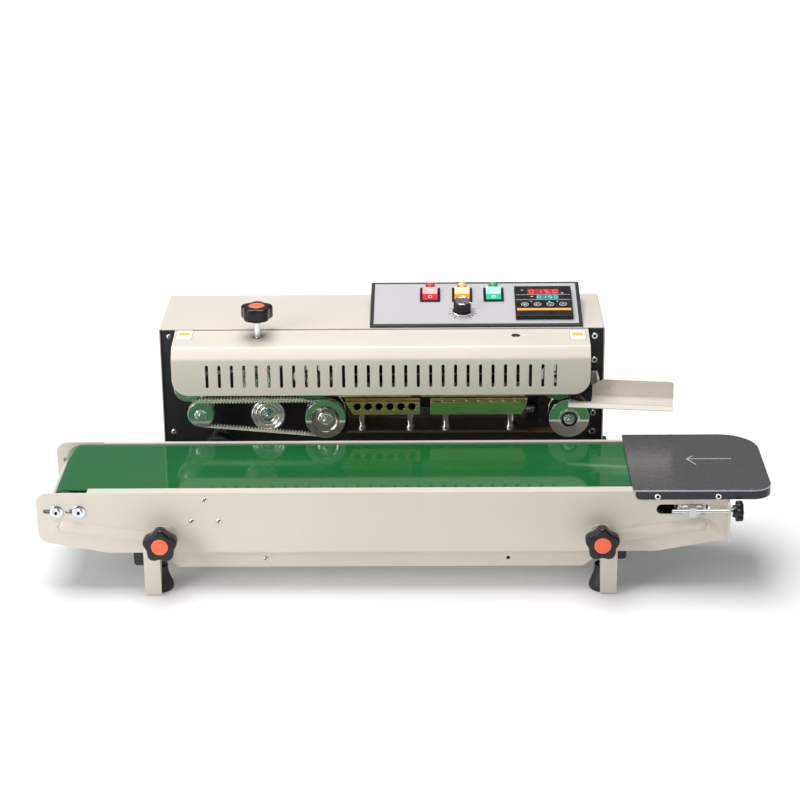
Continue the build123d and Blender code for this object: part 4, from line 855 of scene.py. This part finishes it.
def beltLine(first, second, firstR, secondR):  # path as a function of length, with its outward normal
    gap = second - first
    span, lean = gap.length, math.asin((secondR - firstR) / gap.length)
    base = math.atan2(gap.y, gap.x)
    topTurn, lowTurn = base + math.pi / 2 + lean, base - math.pi / 2 - lean
    run = math.sqrt(span ** 2 - (secondR - firstR) ** 2)
    firstArc, secondArc = firstR * (math.pi - 2 * lean), secondR * (math.pi + 2 * lean)

    def at(length):
        if length < run:
            out = Vector((math.cos(lowTurn), math.sin(lowTurn)))
            start, end = first + out * firstR, second + out * secondR
            return start.lerp(end, length / run), out
        length -= run
        if length < secondArc:
            angle = lowTurn + length / secondR
            out = Vector((math.cos(angle), math.sin(angle)))
            return second + out * secondR, out
        length -= secondArc
        if length < run:
            out = Vector((math.cos(topTurn), math.sin(topTurn)))
            start, end = second + out * secondR, first + out * firstR
            return start.lerp(end, length / run), out
        angle = topTurn + (length - run) / firstR
        out = Vector((math.cos(angle), math.sin(angle)))
        return first + out * firstR, out

    return at, 2 * run + firstArc + secondArc


def standing(point, depth):
    return Vector((point.x, depth, point.y))


def makeGuideBelt(bm, first, second, radii, depth):
    at, total = beltLine(first, second, *radii)
    count = round(total / beltSpec["pitch"])
    loops = []
    for drop in (0.0, beltSpec["back"]):
        ring = []
        for i in range(count):
            point, out = at(total * i / count)
            point = point - out * drop
            ring.append(bm.verts.new((point.x, depth[0], point.y)))
        loops.append([bm.edges.new((ring[i], ring[(i + 1) % count])) for i in range(count)])
    faces = bmesh.ops.bridge_loops(bm, edges=loops[0] + loops[1])["faces"]
    moved = bmesh.ops.extrude_face_region(bm, geom=faces)["geom"]
    moved = [item for item in moved if isinstance(item, bmesh.types.BMVert)]
    bmesh.ops.translate(bm, vec=(0, depth[1] - depth[0], 0), verts=moved)
    middle, width = (depth[0] + depth[1]) / 2, depth[1] - depth[0] - 0.1
    for i in range(count):
        point, out = at(total * (i + 0.5) / count)
        centre = point - out * (beltSpec["back"] + beltSpec["tooth"] / 2 - 0.1)
        turn = Matrix.Rotation(-math.atan2(out.y, out.x), 4, "Y")
        spot = Matrix.Translation((centre.x, middle, centre.y)) @ turn
        size = Matrix.Diagonal((beltSpec["tooth"], width, beltSpec["toothLength"], 1))
        tooth = bmesh.ops.create_cube(bm, size=1.0, matrix=spot @ size)["verts"]
        for vert in tooth:  # each tooth narrows towards its tip
            reach = (vert.co - standing(centre, middle)).dot(Vector((out.x, 0, out.y)))
            if reach < 0:
                side = Vector((-out.y, 0, out.x))
                vert.co -= side * (vert.co - standing(centre, middle)).dot(side) * beltSpec["narrowing"]


low, high = boxMm("guide_belts")
for runName, jointNames in guideBeltRuns.items():
    guide, wheel = (Vector((axisMm(jointName).x, axisMm(jointName).z)) for jointName in jointNames)
    bm = bmesh.new()
    makeGuideBelt(bm, guide, wheel, beltSpec["radii"], (low.y + 0.05, high.y - 0.05))
    bmesh.ops.recalc_face_normals(bm, faces=bm.faces)
    nodePiece(runName + "ToothedBelt", bm, "guide_belts", "creamBelt", runName == "lower")
print("toothed belts laid")


# hand knobs

# turn is the angle of one lobe; a higher valley number narrows the hollows; steps is the points to a lobe
starSpec = {"radius": 20.0, "height": 16.0, "edge": 3.0, "lobes": 5, "turn": 90, "hollow": 3.7,
            "valley": 1.15, "steps": 20, "washerBack": 28.9, "stud": 4.0}
pressureSpec = {"radius": 19.6, "height": 16.4, "edge": 3.0, "lobes": 5, "turn": 90, "hollow": 3.0,
                "valley": 1.15, "steps": 20, "rod": 3.72, "collarZ": 226.1, "washerZ": 238.0}
tensionSpec = {"radius": 12.0, "height": 8.0, "edge": 1.8, "lobes": 7, "turn": 0, "hollow": 2.0,
               "valley": 2.4, "steps": 14, "rod": 2.5}
capProfile = [(0, 0.5), (5.9, 0.5), (6.3, 0.1), (6.9, 0.1), (7.3, 0.5), (8.9, 0.45), (9.6, 0.0), (9.6, -1.5),
              (0, -1.5)]


def makeStarKnob(side):
    node = side + "_star_knob"
    low, high = boxMm(node)
    axis = axisMm(side + "_clamp_turn")
    face = low.y + 0.6
    root = along((axis.x, face + starSpec["height"], axis.z), (0, -1, 0))
    bm = bmesh.new()
    lobedGrip(bm, starSpec, root)
    lathe(bm, [(0, 0.5), (12.5, 0.5), (11.0, -4.0), (10.4, -12.8), (0, -12.8)], root, 40)
    nodePiece(side + "StarGrip", bm, node, "blackPlastic", True, 0, 45)
    bm = bmesh.new()
    lathe(bm, capProfile, along((axis.x, face, axis.z), (0, -1, 0)), 48)
    nodePiece(side + "StarCap", bm, node, "orangeCap", False, 0.15)
    bm = bmesh.new()
    lathe(bm, threaded(starSpec["stud"], 1.25, 0, 16.0), along((axis.x, high.y, axis.z), (0, -1, 0)), 28)
    washer = along((axis.x, face + starSpec["washerBack"], axis.z), (0, -1, 0))
    lathe(bm, [(4.1, 0), (8.6, 0), (8.6, washerThick), (4.1, washerThick)], washer, 32)
    nodePiece(side + "StarStud", bm, node, "zinc", False, 0, 25)


def makePressureKnob():
    node = "pressure_knob"
    axis = axisMm("pressure_screw_turn")
    low, high = boxMm(node)
    crown = high.z - 1.4
    base = crown - pressureSpec["height"]
    root = Matrix.Translation((axis.x, axis.y, base))
    bm = bmesh.new()
    lobedGrip(bm, pressureSpec, root)
    lathe(bm, [(0, 1), (11.0, 1), (9.4, -3), (0, -3)], root, 40)
    nodePiece("pressureGrip", bm, node, "blackPlastic", True, 0, 45)
    bm = bmesh.new()
    lathe(bm, capProfile, Matrix.Translation((axis.x, axis.y, crown)), 48)
    nodePiece("pressureCap", bm, node, "orangeCap", False, 0.15)
    bm = bmesh.new()
    rod, collar = pressureSpec["rod"], pressureSpec["collarZ"]
    foot = Matrix.Translation((axis.x, axis.y, 0))
    lathe(bm, [(0, low.z), (rod, low.z), (rod, base - 2), (0, base - 2)], foot, 40)
    lathe(bm, [(3.6, collar), (8.0, collar), (8.0, collar + 2.4), (3.6, collar + 2.4)], foot, 32)
    nodePiece("pressureRod", bm, node, "chrome", False, 0, 25)
    bm = bmesh.new()
    seat = Matrix.Translation((axis.x, axis.y, pressureSpec["washerZ"]))
    lathe(bm, [(3.8, 0), (5.4, 0), (5.4, 1.0), (4.6, 1.5), (3.8, 1.5), (3.8, 0)], seat, 36)
    nodePiece("pressureRodWasher", bm, node, "zinc")


def makeTensionScrew():
    node = "front_tension_screw"
    axis = axisMm("tension_screw_turn")
    low, high = boxMm(node)
    rod = along((0, axis.y, axis.z), (1, 0, 0))
    bm = bmesh.new()
    near, far = axis.x + 0.1, axis.x + 2.5
    lathe(bm, threaded(tensionSpec["rod"], 0.8, low.x, axis.x), rod, 24)
    lathe(bm, [(2.4, near), (4.5, near), (4.5, far), (2.4, far)], rod, 28)
    nodePiece("tensionRod", bm, node, "chrome", True, 0, 25)
    bm = bmesh.new()
    root = along((high.x - tensionSpec["height"], axis.y, axis.z), (1, 0, 0))
    lobedGrip(bm, tensionSpec, root)
    lathe(bm, [(0, 0.5), (7.4, 0.5), (6.8, -3.4), (0, -3.4)], root, 32)
    nodePiece("tensionGrip", bm, node, "blackPlastic", False, 0, 45)


makeStarKnob("left")
makeStarKnob("right")
makePressureKnob()
makeTensionScrew()
print("hand knobs made")


# pressure spring

springSpec = {"radius": 6.4, "wire": 0.9, "turns": 4, "steps": 24}


def makePressureSpring():
    low, high = boxMm("pressure_spring")
    axis = axisMm("pressure_screw_turn")
    spec = dict(springSpec, height=high.z - low.z)
    bm = bmesh.new()
    coil(bm, spec, Matrix.Translation((axis.x, axis.y, low.z)))
    piece = nodePiece("pressureCoil", bm, "pressure_spring", "springSteel", True)
    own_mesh(piece)


makePressureSpring()
print("spring wound")


# console: everything is drawn flat as (x, distance up the slope, height) and laid on the panel

consoleSpec = {"originY": 67.0, "originZ": 246.0, "tilt": 12.0}
consolePlace = (Matrix.Translation((0, consoleSpec["originY"], consoleSpec["originZ"]))
                @ Matrix.Rotation(math.radians(consoleSpec["tilt"]), 4, "X"))
switchSpecs = {
    "red_switch": {"x": 31.0, "lens": ("redLensPale", "redLens"), "lamp": "redLamp"},
    "amber_switch": {"x": 70.5, "lens": ("amberLensPale", "amberLens"), "lamp": "yellowLamp"},
    "green_switch": {"x": 109.3, "lens": ("greenLensPale", "greenLens"), "lamp": "greenLamp"},
}
rockerSpec = {"slope": 71.5, "tilt": 8.0, "halfLength": 12.4, "edgeRise": 1.4, "markSlope": 6.4}
lampSpec = {"slope": 93.0, "lift": 0.1, "radius": 5.5, "height": 3.4, "edge": 0.7, "lobes": 16, "turn": 0,
            "hollow": 0.5, "valley": 1.0, "steps": 14}
lampDome = [(0, 5.0), (1.6, 4.9), (3.0, 4.4), (4.2, 3.5), (4.3, 3.0), (0, 3.0)]


def makeRocker(node, spec):
    place = consolePlace @ Matrix.Translation((spec["x"], rockerSpec["slope"], 0))
    place = place @ Matrix.Rotation(math.radians(rockerSpec["tilt"]), 4, "X")
    name = node.split("_")[0]
    bm = mergedCopy(node)
    inverse = place.inverted()
    bmesh.ops.bisect_plane(bm, geom=bm.verts[:] + bm.edges[:] + bm.faces[:], plane_co=place.translation,
                           plane_no=place.to_3x3() @ Vector((0, 1, 0)))
    for face in bm.faces:  # the upper half of the key is paler
        face.material_index = 0 if (inverse @ face.calc_center_median()).y > 0 else 1
    makePiece(name + "Rocker", bm, bodyOf[node], list(spec["lens"]), [node], 0.3)
    bm = bmesh.new()
    lift = math.atan2(rockerSpec["edgeRise"], rockerSpec["halfLength"])
    upper = place @ Matrix.Translation((0, rockerSpec["markSlope"], 3.34)) @ Matrix.Rotation(lift, 4, "X")
    bar(bm, (0, 0, 0), (0.9, 4.0, 0.16), upper)
    lower = place @ Matrix.Translation((0, -rockerSpec["markSlope"], 3.26)) @ Matrix.Rotation(-lift, 4, "X")
    lathe(bm, [(1.7, 0), (2.6, 0), (2.6, 0.2), (1.7, 0.2), (1.7, 0)], lower, 32)
    nodePiece(name + "RockerMarks", bm, node, "whiteInk")
    bm = bmesh.new()
    foot = consolePlace @ Matrix.Translation((spec["x"], lampSpec["slope"], lampSpec["lift"]))
    lobedGrip(bm, lampSpec, foot)
    lathe(bm, lampDome, foot, 48)
    makePiece(name + "PilotLens", bm, bodyOf["switch_bezels"], [spec["lamp"]], (), 0, 60)


for node, spec in switchSpecs.items():
    makeRocker(node, spec)

knobSpec = {"x": 70.5, "slope": 32.0, "lift": 0.3, "pointer": -22.0}
fluteSpec = {"radius": 11.2, "height": 12.0, "edge": 0.9, "lobes": 11, "turn": 0, "hollow": 1.1, "valley": 1.6,
             "steps": 14}
tickSpec = {"count": 15, "sweep": 290.0, "long": 4.4, "short": 3.0, "inner": 13.4, "width": 1.05}


def makeSpeedKnob():
    node = "speed_knob"
    place = consolePlace @ Matrix.Translation((knobSpec["x"], knobSpec["slope"], knobSpec["lift"]))
    bm = bmesh.new()
    lathe(bm, [(0, -19), (3, -19), (3, 0), (12.4, 0), (12.3, 1.0), (11.8, 2.2), (11.0, 3.0), (0, 3.0)],
          place, 64)
    lobedGrip(bm, fluteSpec, place @ Matrix.Translation((0, 0, 2.8)))
    nodePiece("speedKnobBody", bm, node, "blackPlastic", True, 0, 40)
    bm = bmesh.new()
    lathe(bm, [(0, 14.7), (8.8, 14.7), (8.8, 15.1), (8.2, 15.5), (7.2, 15.3), (0, 15.2)], place, 56)
    lathe(bm, [(11.2, 2.4), (12.2, 2.0), (12.5, 1.2), (12.55, 0.1), (11.2, 0.1)], place, 64)
    nodePiece("speedKnobTrim", bm, node, "chrome", False, 0, 30)
    bm = bmesh.new()
    side = place @ Matrix.Rotation(math.radians(knobSpec["pointer"]), 4, "Z")
    bar(bm, (11.3, 0, 8.6), (1.0, 1.5, 12.0), side)
    bar(bm, (9.8, 0, 14.9), (3.4, 1.5, 0.6), side)
    nodePiece("speedKnobPointer", bm, node, "whiteInk", False, 0.15)


def makeSpeedScale():
    bm = bmesh.new()
    step = tickSpec["sweep"] / (tickSpec["count"] - 1)
    for i in range(tickSpec["count"]):
        angle = math.radians(90 + tickSpec["sweep"] / 2 - step * i)
        length = tickSpec["short" if i % 2 else "long"]
        reach = tickSpec["inner"] + length / 2
        spot = (knobSpec["x"] + reach * math.cos(angle), knobSpec["slope"] + reach * math.sin(angle), 0.03)
        bar(bm, spot, (length, tickSpec["width"], 0.08), consolePlace, 0, angle)
    nodePiece("speedScale", bm, "console_plate", "blackInk")


makeSpeedKnob()
makeSpeedScale()

fieldSpecs = {
    "redField": {"x": (150.9, 189.7), "slope": (63.8, 75.9), "digits": "0150", "ink": "redDigit"},
    "tealField": {"x": (161.3, 188.8), "slope": (51.9, 61.2), "digits": "0150", "ink": "tealDigit"},
}
controllerSpec = {
    "frameTop": 6.02, "fieldTop": 5.95, "digitTop": 6.04, "print": 0.1,
    "stripeSlope": (24.9, 29.9), "lineSlopes": (62.5, 50.2), "buttonSlope": 38.0, "buttonTop": 6.78,
    "wideMarks": ((144.5, 73.5), (156.0, 58.0), (193.6, 66.0)),
    "lampMarks": (155.0, 177.0, 186.5), "lampSlope": 45.8,
}
litSegments = {"0": "abcdef", "1": "bc", "5": "acdfg"}
buttonSpecs = {"set_button": 146.8, "shift_button": 162.3, "down_button": 177.8, "up_button": 193.3}


def addDigit(bm, digit, left, low, width, tall, height):
    thick = width * 0.2
    middle, right, top = left + width / 2, left + width, low + tall
    spots = {"a": (middle, top, 0), "g": (middle, low + tall / 2, 0), "d": (middle, low, 0),
             "f": (left, low + tall * 0.75, 1), "b": (right, low + tall * 0.75, 1),
             "e": (left, low + tall * 0.25, 1), "c": (right, low + tall * 0.25, 1)}
    for name in litSegments[digit]:
        x, slope, upright = spots[name]
        size = (thick, tall / 2 - thick * 0.7, 0.08) if upright else (width - thick * 0.8, thick, 0.08)
        bar(bm, (x, slope, height), size, consolePlace)


def makeController():
    node = "controller_case"
    softened(node, "controllerMoulding", "blackPlastic", 0.45)
    for fieldName, field in fieldSpecs.items():
        (left, right), (bottom, top) = field["x"], field["slope"]
        tall, pitch = top - bottom, (right - left) / len(field["digits"])
        middle = ((left + right) / 2, (bottom + top) / 2, controllerSpec["fieldTop"])
        bm = bmesh.new()
        bar(bm, middle, (right - left, tall, 0.12), consolePlace)
        nodePiece(fieldName + "Glass", bm, node, fieldName)
        bm = bmesh.new()
        for i, digit in enumerate(field["digits"]):
            addDigit(bm, digit, left + pitch * (i + 0.26), bottom + tall * 0.18, pitch * 0.46, tall * 0.64,
                     controllerSpec["digitTop"])
        nodePiece(fieldName + "Digits", bm, node, field["ink"])
    low, high = boxMm(node)
    middle, width = (low.x + high.x) / 2, high.x - low.x
    level, thick = controllerSpec["frameTop"], controllerSpec["print"]
    bottom, top = controllerSpec["stripeSlope"]
    bm = bmesh.new()
    bar(bm, (middle, (bottom + top) / 2, level), (width - 4, top - bottom, thick), consolePlace)
    nodePiece("controllerStripe", bm, node, "orangeInk")
    bm = bmesh.new()
    for slope in controllerSpec["lineSlopes"]:
        bar(bm, (middle, slope, level), (width - 3, 0.4, thick), consolePlace)
    for x, slope in controllerSpec["wideMarks"]:
        bar(bm, (x, slope, level), (3.2, 1.1, thick), consolePlace)
    for x in controllerSpec["lampMarks"]:
        bar(bm, (x, controllerSpec["lampSlope"], level), (1.8, 1.1, thick), consolePlace)
    nodePiece("controllerLines", bm, node, "whiteInk")


buttonMarks = {  # strokes as (sideways, up the slope, length, width, turn)
    "set": ((0, 0, 4.6, 0.5, 0), (0, 1.2, 4.0, 0.5, 0), (0, -1.2, 4.0, 0.5, 0)),
    "shift": ((0.4, 0, 4.2, 0.6, 0), (-1.5, 0, 1.9, 1.9, 45)),
    "up": ((-1.1, 0, 3.4, 0.6, 45), (1.1, 0, 3.4, 0.6, -45)),
    "down": ((-1.1, 0, 3.4, 0.6, -45), (1.1, 0, 3.4, 0.6, 45)),
}


def makeButton(node, x):
    name = node.split("_")[0]
    softened(node, name + "Button", "darkPlastic", 0.5)
    spot = consolePlace @ Matrix.Translation((x, controllerSpec["buttonSlope"], controllerSpec["buttonTop"]))
    bm = bmesh.new()
    lathe(bm, [(4.0, 0), (4.5, 0), (4.5, 0.12), (4.0, 0.12), (4.0, 0)], spot, 40)
    for aside, slope, length, width, turn in buttonMarks[name]:
        bar(bm, (aside, slope, 0.06), (length, width, 0.12), spot, 0, math.radians(turn))
    nodePiece(name + "ButtonMark", bm, node, "whiteInk")


makeController()
for node, x in buttonSpecs.items():
    makeButton(node, x)
print("console fitted")


# labels, engraving and small trim

labelSpecs = {"left": {"x": -265.5, "y": 55.5}, "right": {"x": 208.5, "y": 50.0}}
labelSize = (21.0, 28.0)
guardTop = {"frontY": 18.5, "frontZ": 236.8, "backY": 69.9, "backZ": 241.5}


def roundCorners(bm, place, least, offset, segments):  # bevel the edges that stand off the surface
    inverse = place.inverted()
    standing = [edge for edge in bm.edges
                if abs((inverse @ edge.verts[0].co - inverse @ edge.verts[1].co).z) > least]
    bmesh.ops.bevel(bm, geom=standing, offset=offset, offset_type="OFFSET", segments=segments, profile=0.5,
                    affect="EDGES", material=-1)


def makeLabel(side, spec):
    slope = math.atan2(guardTop["backZ"] - guardTop["frontZ"], guardTop["backY"] - guardTop["frontY"])
    height = guardTop["frontZ"] + (spec["y"] - guardTop["frontY"]) * math.tan(slope)
    place = Matrix.Translation((spec["x"], spec["y"], height)) @ Matrix.Rotation(slope, 4, "X")
    bm = bmesh.new()
    bar(bm, (0, 0, 0.08), (*labelSize, 0.16), place)
    roundCorners(bm, place, 0.1, 2.0, 4)
    nodePiece(side + "LabelPaper", bm, "guard", "whiteInk")
    bm = bmesh.new()
    wide, deep = labelSize
    for sign in (-1, 1):
        bar(bm, (sign * (wide / 2 - 0.7), 0, 0.14), (0.7, deep - 1.4, 0.12), place)
        bar(bm, (0, sign * (deep / 2 - 0.7), 0.14), (wide - 1.4, 0.7, 0.12), place)
    nodePiece(side + "LabelBorder", bm, "guard", "greyInk")
    bm = bmesh.new()
    bar(bm, (0, 1.0, 0.2), (14.0, 9.0, 0.1), place)
    roundCorners(bm, place, 0.05, 3.5, 6)
    nodePiece(side + "LabelSpot", bm, "guard", "amberInk")


for side, spec in labelSpecs.items():
    makeLabel(side, spec)

arrowSpec = {"tailX": 382.0, "tipX": 330.0, "y": -73.5, "wings": ((7.5, 9.0), (9.0, -17.0)), "line": 1.1}


def makeFeedArrow():
    top = boxMm("feed_plate")[1].z
    bm = bmesh.new()
    middle = (arrowSpec["tailX"] + arrowSpec["tipX"]) / 2
    bar(bm, (middle, arrowSpec["y"], top), (arrowSpec["tailX"] - arrowSpec["tipX"], arrowSpec["line"], 0.06))
    for back, aside in arrowSpec["wings"]:
        spot = (arrowSpec["tipX"] + back / 2, arrowSpec["y"] + aside / 2, top)
        bar(bm, spot, (math.hypot(back, aside), arrowSpec["line"], 0.06), Matrix.Identity(4), 0,
            math.atan2(aside, back))
    nodePiece("feedArrow", bm, "feed_plate", "paleInk")


makeFeedArrow()

sleeveSpec = {"places": (-52.3, 6.2, 49.7, 127.7), "y": 41.0, "inner": 4.0, "radius": 4.6, "flange": 6.8,
              "low": 127.0, "high": 145.0}
rivetSpec = {"first": 45.5, "pitch": 14.55, "count": 7, "y": 28.0, "z": 163.42, "radius": 1.5, "rise": 0.8}
infeedRivetSpec = {"corner": (222.0, 39.5, 164.2), "turn": -7.1, "along": 24.0, "heights": (5.0, 13.5)}
guardNutSpec = {"place": (134.0, 48.2, 232.6), "across": 8.0, "height": 4.2, "stud": 2.4, "foot": -24.0}
bandSpringSpec = {"y": 61.5, "z": 141.2, "low": 142.6, "high": 157.3, "radius": 5.2, "wire": 0.85, "turns": 6,
                  "steps": 24}


def makePostSleeves():
    bm = bmesh.new()
    inner, radius, flange, low, high = (sleeveSpec[key] for key in ("inner", "radius", "flange", "low", "high"))
    under, over = low - 0.6, low + 0.8  # the flange at the sleeve's foot
    for x in sleeveSpec["places"]:
        foot = Matrix.Translation((x, sleeveSpec["y"], 0))
        lathe(bm, [(inner, low), (radius, low), (radius, high), (inner, high)], foot, 40)
        lathe(bm, [(inner, under), (flange, under), (flange, over), (inner, over)], foot, 40)
    nodePiece("postSleeves", bm, "block_holder", "chrome", False, 0.2)


def makeLedgeRivets():
    bm = bmesh.new()
    radius, rise = rivetSpec["radius"], rivetSpec["rise"]
    for i in range(rivetSpec["count"]):
        seat = Matrix.Translation((rivetSpec["first"] + rivetSpec["pitch"] * i, rivetSpec["y"], rivetSpec["z"]))
        lathe(bm, [(0, rise), (radius * 0.6, rise * 0.85), (radius, 0), (0, 0)], seat, 24)
    node = "lower_heating_block"
    nodePiece("ledgeRivets", bm, node, "zinc")


def makeInfeedRivets():
    bm = bmesh.new()
    turn = Matrix.Rotation(math.radians(infeedRivetSpec["turn"]), 4, "Z")
    wall = Matrix.Translation(infeedRivetSpec["corner"]) @ turn
    for height in infeedRivetSpec["heights"]:
        seat = wall @ along((infeedRivetSpec["along"], 0.05, height), (0, -1, 0))
        lathe(bm, [(0, 0.9), (1.1, 0.75), (1.7, 0), (0, 0)], seat, 24)
    nodePiece("infeedRivets", bm, "infeed_guide", "beigePaint")


def makeGuardNut():
    bm = bmesh.new()
    seat = Matrix.Translation(guardNutSpec["place"])
    stud, height, foot = (guardNutSpec[key] for key in ("stud", "height", "foot"))
    hexNut(bm, guardNutSpec["across"], height, seat)
    lathe(bm, [(0, height), (stud, height), (stud - 0.2, 5.6), (0, 5.8)], seat, 28)
    lathe(bm, [(0, foot), (stud, foot), (stud, 0.1), (0, 0.1)], seat, 28)
    nodePiece("guardStudNut", bm, "guard", "chrome", False, 0.3)


def makeBandSpring():
    spec = dict(bandSpringSpec, height=bandSpringSpec["high"] - bandSpringSpec["low"])
    bm = bmesh.new()
    coil(bm, spec, along((bandSpringSpec["low"], bandSpringSpec["y"], bandSpringSpec["z"]), (1, 0, 0)))
    nodePiece("bandTensionCoil", bm, "block_holder", "springSteel")


makePostSleeves()
makeLedgeRivets()
makeInfeedRivets()
makeGuardNut()
makeBandSpring()
print("trim added")

print("pieces done")
